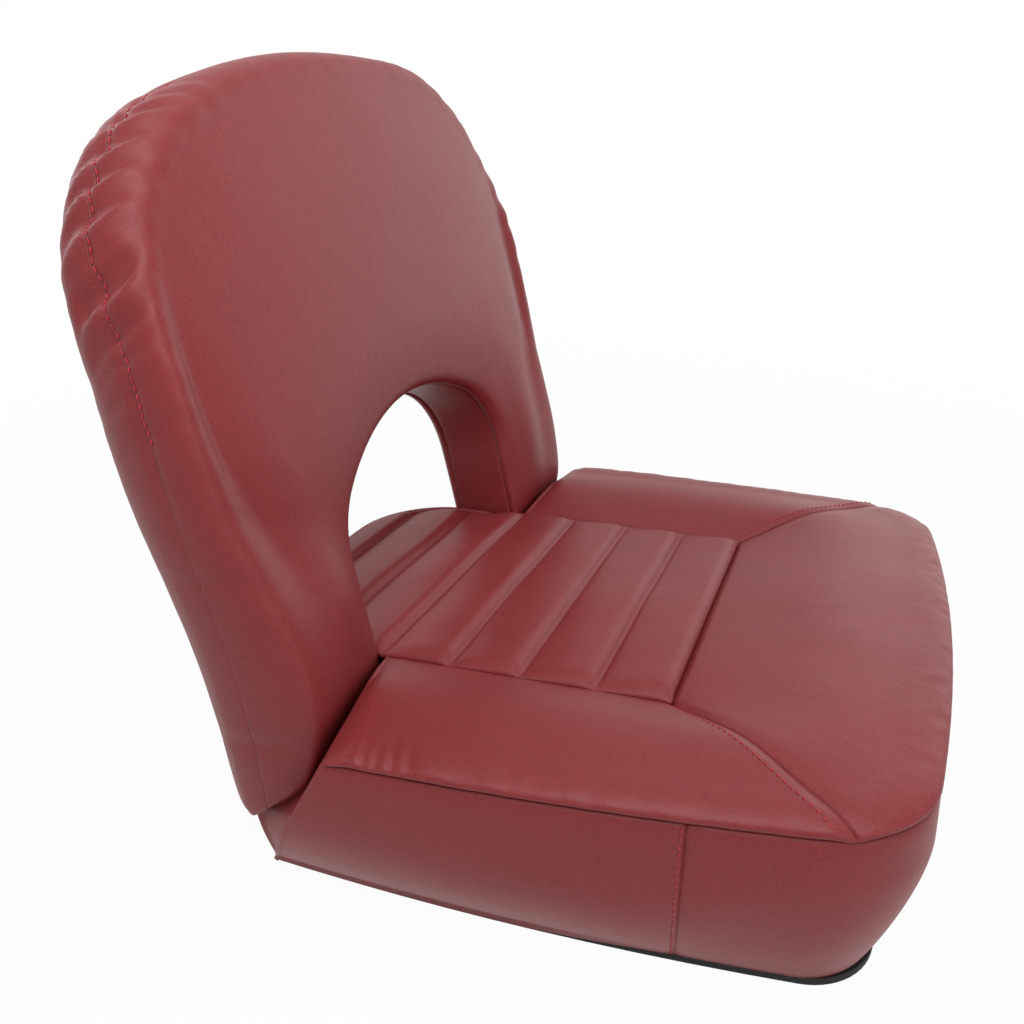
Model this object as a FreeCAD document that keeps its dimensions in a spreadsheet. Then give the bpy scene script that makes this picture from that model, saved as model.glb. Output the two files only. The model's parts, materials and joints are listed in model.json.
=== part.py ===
import FreeCAD, Part
import math
import os
import Sketcher

# A floor chair: a wedge seat lying on the floor and an arched back that reclines on two ratchet hinges.
# The frame: +X to the sitter's left, -Y the way the chair faces, +Z up. The origin is the middle of the
# seat's base, on the floor. Lengths are in millimetres and angles in degrees.

Vector = FreeCAD.Vector
doc = FreeCAD.newDocument("meditation_chair")
sheet = doc.addObject("Spreadsheet::Sheet", "dims")

DIMENSIONS = {
    # Seat
    "seat_width": 510,
    "seat_front": 238,
    "seat_rear": 245,
    "seat_front_corner": 65,
    "front_corner_side": 162,
    "front_corner_ahead": 164.5,
    "seat_front_turn": 6,
    "seat_side_turn": 10,
    "seat_side_bow": 6.5,
    "seam_height": 108.7,
    "seam_tilt": 2.58,
    "base_inset": 18,
    "hip_height": 22,
    "hip_inset": 6,
    "belly_height": 56,
    "belly_inset": 1,
    "board_thickness": 5,
    "wall_thickness": 28,
    "facing_thickness": 8,
    "cover_thickness": 4,
    "cover_gap": 0.2,
    "core_drop": 20,
    "roll_height": 14,
    "roll_radius": 13,
    "roll_steps": 3,
    "tongue_width": 248,
    "tongue_corner": 70,
    "notch_foot": 148,
    "notch_lean": 23,
    "boxing_seam": -105,
    # Seat top panels
    "panel_front": -78,
    "panel_width": 257,
    "panel_taper": 1.6,
    "pleat_pitch": 49.5,
    "pleat_count": 5,
    "pleat_drop": 5,
    "pleat_rise": 6,
    "mitre_side": 217,
    "mitre_front": -186,
    "bolster_crown": 13,
    "bolster_edge": 7,
    # Back
    "hinge_place": 145,
    "hinge_height": 44,
    "back_lean": 12,
    "back_width": 490,
    "back_thickness": 78,
    "back_height": 443,
    "shoulder_drop": 158,
    "shoulder_radius": 125,
    "edge_flat": 3,
    "edge_steps": 3,
    "opening_width": 256,
    "opening_height": 203,
    "opening_start": 130,
    "opening_corner": 55,
    "opening_edge": 14,
    "opening_edge_steps": 2,
    "band_margin": 6,
    "core_margin": 24,
    "core_thickness": 30,
    "sleeve_top": 85,
    "sleeve_gap": 2,
    "foam_foot": 58,
    # Tube frames
    "tube_size": 20,
    "tube_wall": 1.5,
    "tube_spacing": 374,
    "tube_bend": 70,
    "tube_gap": 0.3,
    "rail_drop": 14,
    "rail_end": 42,
    "rail_front": -185,
    "upright_foot": 45,
    "upright_top": 372,
    "cross_tube_diameter": 19,
    "seat_cross_place": 58,
    "back_cross_place": 240,
    "belt_thickness": 1.8,
    "seat_belt_width": 38,
    "seat_belt_first": -120,
    "seat_belt_step": 50,
    "seat_belt_count": 3,
    "back_belt_width": 14,
    "back_belt_first": 258,
    "back_belt_step": 18,
    "back_belt_count": 3,
    # Ratchet hinges
    "bracket_width": 12,
    "bracket_slot": 7,
    "bracket_radius": 24,
    "bracket_length": 85,
    "stem_height": 14,
    "slot_end": 37,
    "arm_thickness": 6,
    "arm_width": 16,
    "arm_top": 95,
    "tooth_tip": 23,
    "tooth_root": 18.5,
    "tooth_pitch": 15,
    "tooth_count": 8,
    "tooth_gap_share": 0.27,
    "tooth_land_share": 0.08,
    "pivot_diameter": 8,
    "pivot_head": 14,
    "head_thickness": 2,
    "running_gap": 0.05,
    "pawl_angle": 200,
    "pawl_reach": 33.3,
    "pawl_turn": 149.3,
    "pawl_hub": 6.5,
    "pawl_hub_wrap": 240,
    "nose_angle": 2.5,
    "pawl_rivet": 5,
    "spring_thickness": 0.8,
    "spring_width": 5,
    "pin_size": 5,
    "pin_head": 8,
    "pin_edge": 20,
    "pocket_width": 20,
    "pocket_margin": 3,
}

for row, (alias, value) in enumerate(DIMENSIONS.items(), start=1):
    sheet.set(f"A{row}", alias)
    sheet.set(f"B{row}", str(value))
    sheet.setAlias(f"B{row}", alias)
doc.recompute()

FAR = 600.0
BELOW, ABOVE = -50.0, 250.0
nodes = []


def size(alias):
    """The number in a named cell of the sheet."""
    return float(sheet.get(alias))


def polar(radius, angle, centre=(0.0, 0.0)):
    """A point at a radius and an angle in degrees from a centre."""
    turn = math.radians(angle)
    return (centre[0] + radius * math.cos(turn), centre[1] + radius * math.sin(turn))


def point(pair):
    return Vector(pair[0], pair[1], 0)


def add_node(feature, label):
    """Marks a document object as a sub-part and gives it its label."""
    feature.Label = label
    nodes.append(feature)
    return feature


# Document helpers: bodies, sketches and booleans

def new_body(name):
    return doc.addObject("PartDesign::Body", name)


def new_sketch(body, name, role):
    """A sketch on one of the body's own origin planes."""
    sketch = body.newObject("Sketcher::SketchObject", name)
    plane = next(item for item in body.Origin.OriginFeatures if item.Role == role)
    sketch.AttachmentSupport = [(plane, "")]
    sketch.MapMode = "FlatFace"
    return sketch


def draw(sketch, start, steps):
    """A closed outline. A step is an end point for a line, or a middle and an end point for an arc."""
    first = sketch.GeometryCount
    here = start
    for step in steps:
        if isinstance(step[0], tuple):
            middle, there = step
            curve = Part.Arc(point(here), point(middle), point(there))
        else:
            there = step
            curve = Part.LineSegment(point(here), point(there))
        sketch.addGeometry(curve, False)
        here = there
    return first


def circle(sketch, centre, radius, expression=None):
    index = sketch.addGeometry(Part.Circle(point(centre), Vector(0, 0, 1), radius), False)
    if expression:
        bind(sketch, "Radius", (index, radius), expression)
    return index


def bind(sketch, kind, values, expression):
    """A driving constraint that follows the sheet."""
    index = sketch.addConstraint(Sketcher.Constraint(kind, *values))
    sketch.setExpression(f"Constraints[{index}]", expression)


def pad(body, sketch, length, midplane=True, reverse=False):
    """An extrusion whose length is an expression of the sheet."""
    feature = body.newObject("PartDesign::Pad", "Pad")
    feature.Profile = sketch
    feature.setExpression("Length", length)
    feature.Midplane = midplane
    feature.Reversed = reverse
    return feature


def pocket(body, sketch, length):
    """A cut to both sides of the sketch, which has to take material away."""
    doc.recompute()
    before = body.Shape.Volume
    feature = body.newObject("PartDesign::Pocket", "Pocket")
    feature.Profile = sketch
    feature.setExpression("Length", length)
    feature.Midplane = True
    doc.recompute()
    if not body.Shape.Volume < before:
        raise RuntimeError(f"{body.Name}: a pocket cut nothing")
    return feature


def loft(body, role, levels, outline):
    """A ruled loft through outlines at levels. A level is a height, what the outline needs and a tilt."""
    sketches = []
    for number, (height, inset, tilt) in enumerate(levels):
        sketch = new_sketch(body, f"{body.Name}_{number}", role)
        sketch.AttachmentOffset = FreeCAD.Placement(
            Vector(0, 0, height), FreeCAD.Rotation(Vector(-1, 0, 0), tilt))
        outline(sketch, inset)
        sketches.append(sketch)
    feature = body.newObject("PartDesign::AdditiveLoft", "Loft")
    feature.Profile = sketches[0]
    feature.Sections = sketches[1:]
    feature.Ruled = True
    return body


def round_over(height, radius, steps):
    """Levels of a rounded edge that ends at a height, as pairs of a height and an inset, the top one last."""
    levels = []
    for number in range(int(steps) + 1):
        across, rise = polar(radius, 90 * number / steps)
        levels.append((height - radius + rise, radius - across))
    return levels


def cut(base, *tools):
    for tool in tools:
        feature = doc.addObject("Part::Cut", "Cut")
        feature.Base = base
        feature.Tool = tool
        base = feature
    return base


def common(base, *tools):
    for tool in tools:
        feature = doc.addObject("Part::Common", "Common")
        feature.Base = base
        feature.Tool = tool
        base = feature
    return base


def fuse(base, tool):
    feature = doc.addObject("Part::Fuse", "Fuse")
    feature.Base = base
    feature.Tool = tool
    return feature


def group(label, pieces):
    """One node of several separate solids."""
    feature = doc.addObject("Part::Compound", label)
    feature.Links = pieces
    return add_node(feature, label)


def region(name, low, high, place=None):
    """A box between two corners, used to divide larger forms."""
    box = doc.addObject("Part::Box", name)
    box.Length = high[0] - low[0]
    box.Width = high[1] - low[1]
    box.Height = high[2] - low[2]
    corner = FreeCAD.Placement(Vector(*low), FreeCAD.Rotation())
    box.Placement = place.multiply(corner) if place else corner
    return box


def on_seam(body):
    """Puts a body in the frame of the seat's top seam, which falls to the rear."""
    body.Placement = SEAM_FRAME
    body.setExpression("Placement.Base.z", "dims.seam_height")
    return body


def on_back(body):
    """Puts a body in the frame of the back: origin on the hinge axis, z up along the lean, y through it."""
    body.Placement = BACK_FRAME
    body.setExpression("Placement.Base.y", "dims.hinge_place")
    body.setExpression("Placement.Base.z", "dims.hinge_height")
    return body


def in_back_frame(feature):
    """Carries a primitive placed in the back's own frame to where the back stands."""
    feature.Placement = BACK_FRAME.multiply(feature.Placement)
    return feature


SEAM_FRAME = FreeCAD.Placement(
    Vector(0, 0, size("seam_height")), FreeCAD.Rotation(Vector(-1, 0, 0), size("seam_tilt")))
UPRIGHT = FreeCAD.Placement()
BACK_FRAME = FreeCAD.Placement(
    Vector(0, size("hinge_place"), size("hinge_height")),
    FreeCAD.Rotation(Vector(-1, 0, 0), size("back_lean")))


# Seat outlines

def notch_at(height):
    """Where the slanted face behind each side of the seat stands, at a height above the floor."""
    return size("notch_foot") - height * math.tan(math.radians(size("notch_lean")))


def draw_seat_plan(sketch, inset, rear):
    """Plan of the seat's main block: bowed sides and front, round front corners."""
    side = size("seat_width") / 2 - inset
    radius = size("seat_front_corner") - inset
    centre = (size("front_corner_side"), -size("front_corner_ahead"))
    first = size("seat_front_turn") - 90
    last = -size("seat_side_turn")
    start = polar(radius, first, centre)
    corner = polar(radius, (first + last) / 2, centre)
    end = polar(radius, last, centre)
    waist = ((end[0] + side) / 2 + size("seat_side_bow"), (end[1] + rear) / 2)
    draw(sketch, (-start[0], start[1]), [
        ((0, inset - size("seat_front")), start),
        (corner, end),
        (waist, (side, rear)),
        (-side, rear),
        ((-waist[0], waist[1]), (-end[0], end[1])),
        ((-corner[0], corner[1]), (-start[0], start[1])),
    ])


def draw_tongue_plan(sketch, side_inset, rear_inset):
    """Plan of the tongue of the seat that runs back between the legs, with round rear corners."""
    side = size("tongue_width") / 2 - side_inset
    rear = size("seat_rear") - rear_inset
    radius = size("tongue_corner") - rear_inset
    centre = (side - radius, rear - radius)
    corner = polar(radius, 45, centre)
    draw(sketch, (-side, 0), [
        (side, 0),
        (side, centre[1]),
        (corner, (centre[0], rear)),
        (-centre[0], rear),
        ((-corner[0], corner[1]), (-side, centre[1])),
        (-side, 0),
    ])


def notch_tools(name, inset):
    """The two spaces behind the seat's sides in which the legs of the back stand."""
    shift = inset / math.cos(math.radians(size("notch_lean")))
    tools = []
    for side, label in ((1, "left"), (-1, "right")):
        body = new_body(f"{name}_{label}")
        sketch = new_sketch(body, f"{name}_{label}_sketch", "YZ_Plane")
        sketch.setExpression("AttachmentOffset.Base.z", f"{side} * (dims.tongue_width / 2 - {inset})")
        draw(sketch, (notch_at(BELOW) - shift, BELOW), [
            (FAR, BELOW), (FAR, ABOVE), (notch_at(ABOVE) - shift, ABOVE), (notch_at(BELOW) - shift, BELOW)])
        pad(body, sketch, "dims.seat_width", midplane=False, reverse=side < 0)
        tools.append(body)
    return tools


def seat_block():
    """The seat up to its top seam, drawn in at the base, with the tongue and without the leg spaces."""
    levels = [
        (size("board_thickness"), size("base_inset"), 0.0),
        (size("hip_height"), size("hip_inset"), 0.0),
        (size("belly_height"), size("belly_inset"), 0.0),
        (size("seam_height") - size("cover_gap"), 0.0, size("seam_tilt")),
    ]
    main = loft(new_body("seat_outer_main"), "XY_Plane", levels,
                lambda sketch, inset: draw_seat_plan(sketch, inset, size("notch_foot")))
    tongue = loft(new_body("seat_outer_tongue"), "XY_Plane", levels,
                  lambda sketch, inset: draw_tongue_plan(sketch, 0, inset))
    return cut(fuse(main, tongue), *notch_tools("seat_outer_notch", 0))


def seat_core(name, gap):
    """Upright prism inside the seat's walls, set in by the wall thickness and a gap."""
    body = new_body(name)
    inset = size("wall_thickness") + gap
    for part in ("main", "tongue"):
        sketch = new_sketch(body, f"{name}_{part}", "XY_Plane")
        sketch.setExpression("AttachmentOffset.Base.z", "dims.board_thickness")
        if part == "main":
            draw_seat_plan(sketch, inset, size("notch_foot"))
        else:
            draw_tongue_plan(sketch, inset, inset)
        pad(body, sketch, "2 * dims.seam_height", midplane=False)
    return cut(body, *notch_tools(f"{name}_notch", size("facing_thickness") + gap))


def seat_roll():
    """The soft roll above the top seam: the outline raised and rounded over."""
    levels = [(0.0, 0.0, 0.0)]
    for height, inset in round_over(size("roll_height"), size("roll_radius"), size("roll_steps")):
        levels.append((height, inset, 0.0))
    main = loft(on_seam(new_body("roll_main")), "XY_Plane", levels,
                lambda sketch, inset: draw_seat_plan(sketch, inset, size("notch_foot")))
    tongue = loft(on_seam(new_body("roll_tongue")), "XY_Plane", levels,
                  lambda sketch, inset: draw_tongue_plan(sketch, inset, inset))
    return cut(fuse(main, tongue), *notch_tools("roll_notch", 0))


# Seat top: one padded layer divided into a pleated centre, a front and two side panels

def panel_side(place):
    """Half width of the centre panel, which widens to the rear."""
    slope = math.tan(math.radians(size("panel_taper")))
    return size("panel_width") / 2 + (place - size("panel_front")) * slope


def plan_region(name, outline):
    """A tall prism over a polygon of the seat's plan."""
    body = on_seam(new_body(name))
    sketch = new_sketch(body, f"{name}_sketch", "XY_Plane")
    draw(sketch, outline[0], outline[1:] + outline[:1])
    pad(body, sketch, "4 * (dims.core_drop + dims.roll_height)")
    return body


def pleat_profile():
    """Side view of the centre panel: round pleats between sewn valleys, then a plain tail on the tongue."""
    body = on_seam(new_body("pleat_form"))
    sketch = new_sketch(body, "pleat_form_sketch", "YZ_Plane")
    floor = -size("core_drop")
    valley = -size("pleat_drop")
    crest = valley + size("pleat_rise")
    place = size("panel_front")
    steps = [(place, valley)]
    for _ in range(int(size("pleat_count"))):
        after = place + size("pleat_pitch")
        steps.append((((place + after) / 2, crest), (after, valley)))
        place = after
    rear = size("seat_rear")
    steps.append((((place + rear) / 2, crest), (rear, valley)))
    steps += [(rear, floor), (size("panel_front"), floor)]
    draw(sketch, (size("panel_front"), floor), steps)
    pad(body, sketch, "dims.seat_width")
    return body


def bolster_profile(name, role, inner, outer):
    """A padded strip in section: low at its sewn inner edge, crowned, and lower again at the outer edge."""
    body = on_seam(new_body(name))
    sketch = new_sketch(body, f"{name}_sketch", role)
    floor = -size("core_drop")
    low = -size("pleat_drop")
    crown = ((inner + outer) / 2, size("bolster_crown"))
    draw(sketch, (inner, floor), [
        (inner, low), (crown, (outer, size("bolster_edge"))), (outer, floor), (inner, floor)])
    pad(body, sketch, "4 * dims.seat_rear")
    return body


def seat_panels(core, roll):
    layer = region("panel_layer", (-FAR, -FAR, -size("core_drop")), (FAR, FAR, 0), SEAM_FRAME)
    zone = fuse(common(core, layer), roll)
    front = size("panel_front")
    rear = size("seat_rear") + size("roll_height")
    run = size("mitre_side") - panel_side(front)
    reach = (FAR - panel_side(front)) / run
    far_corner = (FAR, front + (size("mitre_front") - front) * reach)
    near = (panel_side(front), front)
    back = (panel_side(rear), rear)
    mirror = lambda pair: (-pair[0], pair[1])

    centre = plan_region("centre_region", [mirror(near), near, back, mirror(back)])
    add_node(common(zone, pleat_profile(), centre), "seat_center_panel")

    ahead = plan_region("front_region", [mirror(far_corner), far_corner, near, mirror(near)])
    bolster = bolster_profile("front_form", "YZ_Plane", front, -size("seat_front"))
    add_node(common(zone, bolster, ahead), "seat_front_panel")

    for label, turn in (("left", lambda pair: pair), ("right", mirror)):
        side = 1 if label == "left" else -1
        beside = plan_region(f"side_region_{label}", [
            turn(near), turn(far_corner), turn((FAR, rear)), turn(back)])
        strip = bolster_profile(
            f"side_form_{label}", "XZ_Plane", side * near[0], side * size("seat_width") / 2)
        add_node(common(zone, strip, beside), f"seat_side_panel_{label}")


def side_zones():
    """The spaces beside the seat from the boxing's front seam to its slanted rear facings."""
    zones = []
    shift = size("facing_thickness") / math.cos(math.radians(size("notch_lean")))
    for label, side in (("left", 1), ("right", -1)):
        body = new_body(f"boxing_zone_{label}")
        sketch = new_sketch(body, f"boxing_zone_{label}_sketch", "YZ_Plane")
        sketch.setExpression(
            "AttachmentOffset.Base.z", f"{side} * (dims.tongue_width / 2 - dims.facing_thickness)")
        draw(sketch, (size("boxing_seam"), BELOW), [
            (notch_at(BELOW) - shift, BELOW), (notch_at(ABOVE) - shift, ABOVE),
            (size("boxing_seam"), ABOVE), (size("boxing_seam"), BELOW)])
        pad(body, sketch, "dims.seat_width", midplane=False, reverse=side < 0)
        zones.append(body)
    return zones


def seat_boxing(walls):
    """The seat's padded side wall, sewn from a front strip, two side strips and a rear strip."""
    seam = size("boxing_seam")
    ahead = region("boxing_front_region", (-FAR, -FAR, -FAR), (FAR, seam, FAR))
    behind = region("boxing_rear_region", (-FAR, seam, -FAR), (FAR, FAR, FAR))
    left, right = side_zones()
    add_node(common(walls, ahead), "seat_boxing_front")
    add_node(common(walls, left), "seat_boxing_left")
    add_node(common(walls, right), "seat_boxing_right")
    add_node(cut(common(walls, behind), left, right, *hinge_pockets("boxing_pocket")), "seat_boxing_rear")


def base_cover():
    """Flat black cover under the seat, the face that rests on the floor."""
    board = new_body("base_plate")
    for part in ("main", "tongue"):
        sketch = new_sketch(board, f"base_{part}_sketch", "XY_Plane")
        inset = size("base_inset") + size("cover_thickness") / 2
        if part == "main":
            draw_seat_plan(sketch, inset, notch_at(size("board_thickness")) - size("cover_thickness") / 2)
        else:
            draw_tongue_plan(sketch, size("cover_thickness") / 2, inset)
        pad(board, sketch, "dims.board_thickness", midplane=False)
    add_node(board, "base_cover")


# Hinge spaces in the soft pieces

def sides():
    """The two sides of the chair: a name and the place of its tube across the chair."""
    half = size("tube_spacing") / 2
    return (("left", half), ("right", -half))


def hinge_pockets(name):
    """Room in the seat for the hinges: a slot along each rail end and round each ratchet."""
    pockets = []
    half = size("pocket_width") / 2
    reach = size("bracket_radius") + size("pocket_margin")
    for label, place in sides():
        low = (place - half, size("hinge_place") - size("rail_end") - size("pocket_margin"),
               size("hinge_height") - reach)
        high = (place + half, size("hinge_place") + reach, size("hinge_height") + reach)
        pockets.append(region(f"{name}_{label}", low, high))
    return pockets


# Steel tubes and belts

CROSS_ROOM = "dims.cross_tube_diameter + 2 * dims.tube_gap"
BETWEEN_TUBES = "dims.tube_spacing - dims.tube_size"


def draw_bent_strip(sketch, foot, top, half_width, overrun=0.0):
    """A U-shaped strip of even width: straight legs and two round bends."""
    half = size("tube_spacing") / 2
    bend = size("tube_bend")
    way = 1 if top > foot else -1
    centre = (half - bend, top - way * bend)
    end = foot - way * overrun
    big, small = bend + half_width, bend - half_width
    far = polar(big, way * 45, centre)
    near = polar(small, way * 45, centre)
    draw(sketch, (-half - half_width, end), [
        (-half - half_width, centre[1]),
        ((-far[0], far[1]), (-centre[0], top + way * half_width)),
        (centre[0], top + way * half_width),
        (far, (half + half_width, centre[1])),
        (half + half_width, end),
        (half - half_width, end),
        (half - half_width, centre[1]),
        (near, (centre[0], top - way * half_width)),
        (-centre[0], top - way * half_width),
        ((-near[0], near[1]), (-half + half_width, centre[1])),
        (-half + half_width, end),
        (-half - half_width, end),
    ])


def bent_tube(name, role, foot, top, height, grow, hollow):
    """A square tube bent to a U. Its plane stands at a height along the sketch plane's normal."""
    body = new_body(name)
    spot = FreeCAD.Placement(Vector(0, 0, height), FreeCAD.Rotation())
    outside = new_sketch(body, f"{name}_outside", role)
    outside.AttachmentOffset = spot
    draw_bent_strip(outside, foot, top, size("tube_size") / 2 + grow, grow)
    pad(body, outside, f"dims.tube_size + {2 * grow}")
    if hollow:
        inside = new_sketch(body, f"{name}_inside", role)
        inside.AttachmentOffset = spot
        draw_bent_strip(inside, foot, top, size("tube_size") / 2 - size("tube_wall"), size("tube_wall"))
        pocket(body, inside, "dims.tube_size - 2 * dims.tube_wall")
    return body


def cross_cylinder(name, diameter, length, place, height):
    """A round bar along X, with its diameter and length as expressions of the sheet."""
    bar = doc.addObject("Part::Cylinder", name)
    bar.setExpression("Radius", f"({diameter}) / 2")
    bar.setExpression("Height", length)
    doc.recompute()
    bar.Placement = FreeCAD.Placement(
        Vector(-bar.Height.Value / 2, place, height), FreeCAD.Rotation(Vector(0, 1, 0), 90))
    return bar


def belts(name, role, width, first, step, count, height, grow):
    """Flat belts stretched round the two straight legs of a frame."""
    inner = size("tube_size") / 2 + size("tube_gap") - grow
    outer = inner + size("belt_thickness") + 2 * grow
    pieces = []
    for number in range(int(size(count))):
        body = new_body(f"{name}_{number}")
        sketch = new_sketch(body, f"{name}_{number}_sketch", role)
        flip = -1 if role == "XZ_Plane" else 1
        place = size(first) + number * size(step)
        sketch.AttachmentOffset = FreeCAD.Placement(Vector(0, 0, flip * place), FreeCAD.Rotation())
        for reach in (outer, inner):
            side = size("tube_spacing") / 2 + reach
            draw(sketch, (-side, height - reach), [
                (side, height - reach), (side, height + reach),
                (-side, height + reach), (-side, height - reach)])
        pad(body, sketch, f"dims.{width} + {2 * grow}")
        pieces.append(body)
    return pieces


def headed_rivet(name):
    """The pivot rivet along X: a shank with a flat head at each end."""
    body = new_body(name)
    half = size("bracket_width") / 2
    end = half + size("head_thickness")
    shank, head = size("pivot_diameter") / 2, size("pivot_head") / 2
    sketch = new_sketch(body, f"{name}_sketch", "XY_Plane")
    draw(sketch, (-end, 0), [
        (-end, head), (-half, head), (-half, shank), (half, shank),
        (half, head), (end, head), (end, 0), (-end, 0)])
    spin = body.newObject("PartDesign::Revolution", "Revolution")
    spin.Profile = sketch
    spin.ReferenceAxis = (sketch, ["H_Axis"])
    spin.Angle = 360
    return body


def flush_rivet(name):
    """The pawl's rivet along X, flush with the cheeks of the bracket."""
    body = new_body(name)
    sketch = new_sketch(body, f"{name}_sketch", "YZ_Plane")
    circle(sketch, (0, 0), size("pawl_rivet") / 2, "dims.pawl_rivet / 2")
    pad(body, sketch, "dims.bracket_width")
    return body


def square_bar(name, across, half, spot, frame, place):
    """A square bar along X about a place across the chair and a spot in a frame."""
    return region(name, (place - half, spot[0] - across / 2, spot[1] - across / 2),
                  (place + half, spot[0] + across / 2, spot[1] + across / 2), frame)


def tube_pins(name, spot, frame):
    """One square cross pin a tube, with a flat square head at each end, that locks what sits in the tube."""
    pieces = []
    reach = size("tube_size") / 2
    for label, place in sides():
        head_end = reach + size("head_thickness")
        form = (spot, frame, place)
        heads = cut(square_bar(f"{name}_{label}_heads", size("pin_head"), head_end, *form),
                    square_bar(f"{name}_{label}_between", 2 * size("pin_head"), reach, *form))
        pieces.append(fuse(square_bar(f"{name}_{label}_shank", size("pin_size"), head_end, *form), heads))
    return pieces


def pin_holes(name, spot, frame):
    """Square holes for those pins."""
    across = size("pin_size") + 2 * size("running_gap")
    return [square_bar(f"{name}_{label}", across, size("tube_size"), spot, frame, place)
            for label, place in sides()]


def pin_rooms(name, spot, frame):
    """Room in the foam for the heads of those pins."""
    across = size("pin_head") + 2 * size("tube_gap")
    reach = size("tube_size") / 2 + size("head_thickness") + size("tube_gap")
    return [square_bar(f"{name}_{label}", across, reach, spot, frame, place) for label, place in sides()]


def seat_frame():
    """U tube of the seat with its cross tube, belts and pins. Returns the room they take in the foam."""
    height = size("hinge_height") - size("rail_drop")
    foot = size("hinge_place") - size("rail_end")
    spot = (foot - size("pin_edge"), height)
    gap = size("tube_gap")
    rail = bent_tube("seat_tube", "XY_Plane", foot, size("rail_front"), height, 0.0, True)
    add_node(cut(rail, *pin_holes("rail_hole", spot, UPRIGHT)), "seat_frame_tube")
    room = bent_tube("seat_tube_room", "XY_Plane", foot, size("rail_front"), height, gap, False)

    bar = (BETWEEN_TUBES, size("seat_cross_place"), height)
    add_node(cross_cylinder("seat_bar", "dims.cross_tube_diameter", *bar), "seat_cross_tube")
    bar_room = cross_cylinder("seat_bar_room", CROSS_ROOM, *bar)

    form = ("XZ_Plane", "seat_belt_width", "seat_belt_first", "seat_belt_step", "seat_belt_count", height)
    group("seat_support_belts", belts("seat_belt", *form, 0.0))
    group("seat_rail_pins", tube_pins("rail_pin", spot, UPRIGHT))
    return [room, bar_room, *belts("seat_belt_room", *form, size("cover_gap")),
            *pin_rooms("rail_pin_room", spot, UPRIGHT)]


def back_frame():
    """U tube of the back with its cross bar, belts and pins. Returns the room they take in the foam."""
    foot = size("upright_foot")
    spot = (0.0, foot + size("pin_edge"))
    gap = size("tube_gap")
    upright = on_back(bent_tube("back_tube", "XZ_Plane", foot, size("upright_top"), 0.0, 0.0, True))
    add_node(cut(upright, *pin_holes("upright_hole", spot, BACK_FRAME)), "back_frame_tube")
    room = on_back(bent_tube("back_tube_room", "XZ_Plane", foot, size("upright_top"), 0.0, gap, False))

    bar = (BETWEEN_TUBES, 0.0, size("back_cross_place"))
    add_node(in_back_frame(cross_cylinder("back_bar", "dims.cross_tube_diameter", *bar)), "back_cross_bar")
    bar_room = in_back_frame(cross_cylinder("back_bar_room", CROSS_ROOM, *bar))

    form = ("XY_Plane", "back_belt_width", "back_belt_first", "back_belt_step", "back_belt_count", 0.0)
    group("back_support_belts", [on_back(belt) for belt in belts("back_belt", *form, 0.0)])
    group("back_upright_pins", tube_pins("upright_pin", spot, BACK_FRAME))
    return [room, bar_room, *[on_back(belt) for belt in belts("back_belt_room", *form, size("cover_gap"))],
            *pin_rooms("upright_pin_room", spot, BACK_FRAME)]


# Back: an arched slab with rounded edges and an arched opening at its foot

def arch_radius(half, rise, corner):
    """Radius of the top arc that joins two corner arcs of an arch without a break."""
    return (half * half + rise * rise - 2 * half * corner) / (2 * (rise - corner))


def draw_arch(sketch, half, start, top, corner, foot):
    """A straight-sided arch with two corner arcs and a flatter top arc, closed along its foot."""
    rise = top - start
    crown = arch_radius(half, rise, corner)
    centre = (half - corner, start)
    lean = math.degrees(math.atan2(start - (top - crown), half - corner))
    meet = polar(corner, lean, centre)
    bend = polar(corner, lean / 2, centre)
    draw(sketch, (-half, foot), [
        (half, foot),
        (half, start),
        (bend, meet),
        ((0, top), (-meet[0], meet[1])),
        ((-bend[0], bend[1]), (-half, start)),
        (-half, foot),
    ])


def draw_back_plan(sketch, inset, foot):
    """Outline of the back, set in by a distance and running down to a foot."""
    draw_arch(sketch, size("back_width") / 2 - inset, size("back_height") - size("shoulder_drop"),
              size("back_height") - inset, size("shoulder_radius") - inset, foot)


def draw_opening(sketch, grow, foot):
    """Outline of the arched opening, enlarged by a distance."""
    draw_arch(sketch, size("opening_width") / 2 + grow, size("opening_start"),
              size("opening_height") + grow, size("opening_corner") + grow, foot)


def opening_prism(name, grow, length):
    """The arched opening, enlarged all round by a margin, right through the back."""
    body = on_back(new_body(name))
    sketch = new_sketch(body, f"{name}_sketch", "XZ_Plane")
    draw_opening(sketch, grow, -FAR / 2)
    pad(body, sketch, length)
    return body


def both_faces(levels):
    """Levels up to the rear face, repeated mirrored for the front face."""
    rear = [(height, inset, 0.0) for height, inset in levels]
    front = [(-height, inset, 0.0) for height, inset in reversed(levels)]
    return front + rear


def back_block(name, inset):
    """The back's outer form set in by a distance: legs run on past the hinge, edges rounded."""
    foot = -2 * size("back_thickness")
    face = size("back_thickness") / 2 - inset
    edge = both_faces(round_over(face, face - size("edge_flat"), size("edge_steps")))
    slab = loft(on_back(new_body(name)), "XZ_Plane", edge,
                lambda sketch, step: draw_back_plan(sketch, inset + step, foot))
    lip = round_over(face, size("opening_edge") - inset, size("opening_edge_steps"))
    beyond = (face + size("edge_flat"), lip[-1][1] + size("edge_flat"))
    hole = loft(on_back(new_body(f"{name}_opening")), "XZ_Plane", both_faces(lip + [beyond]),
                lambda sketch, step: draw_opening(sketch, inset + step, foot - 1))
    return cut(slab, hole)


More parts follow.
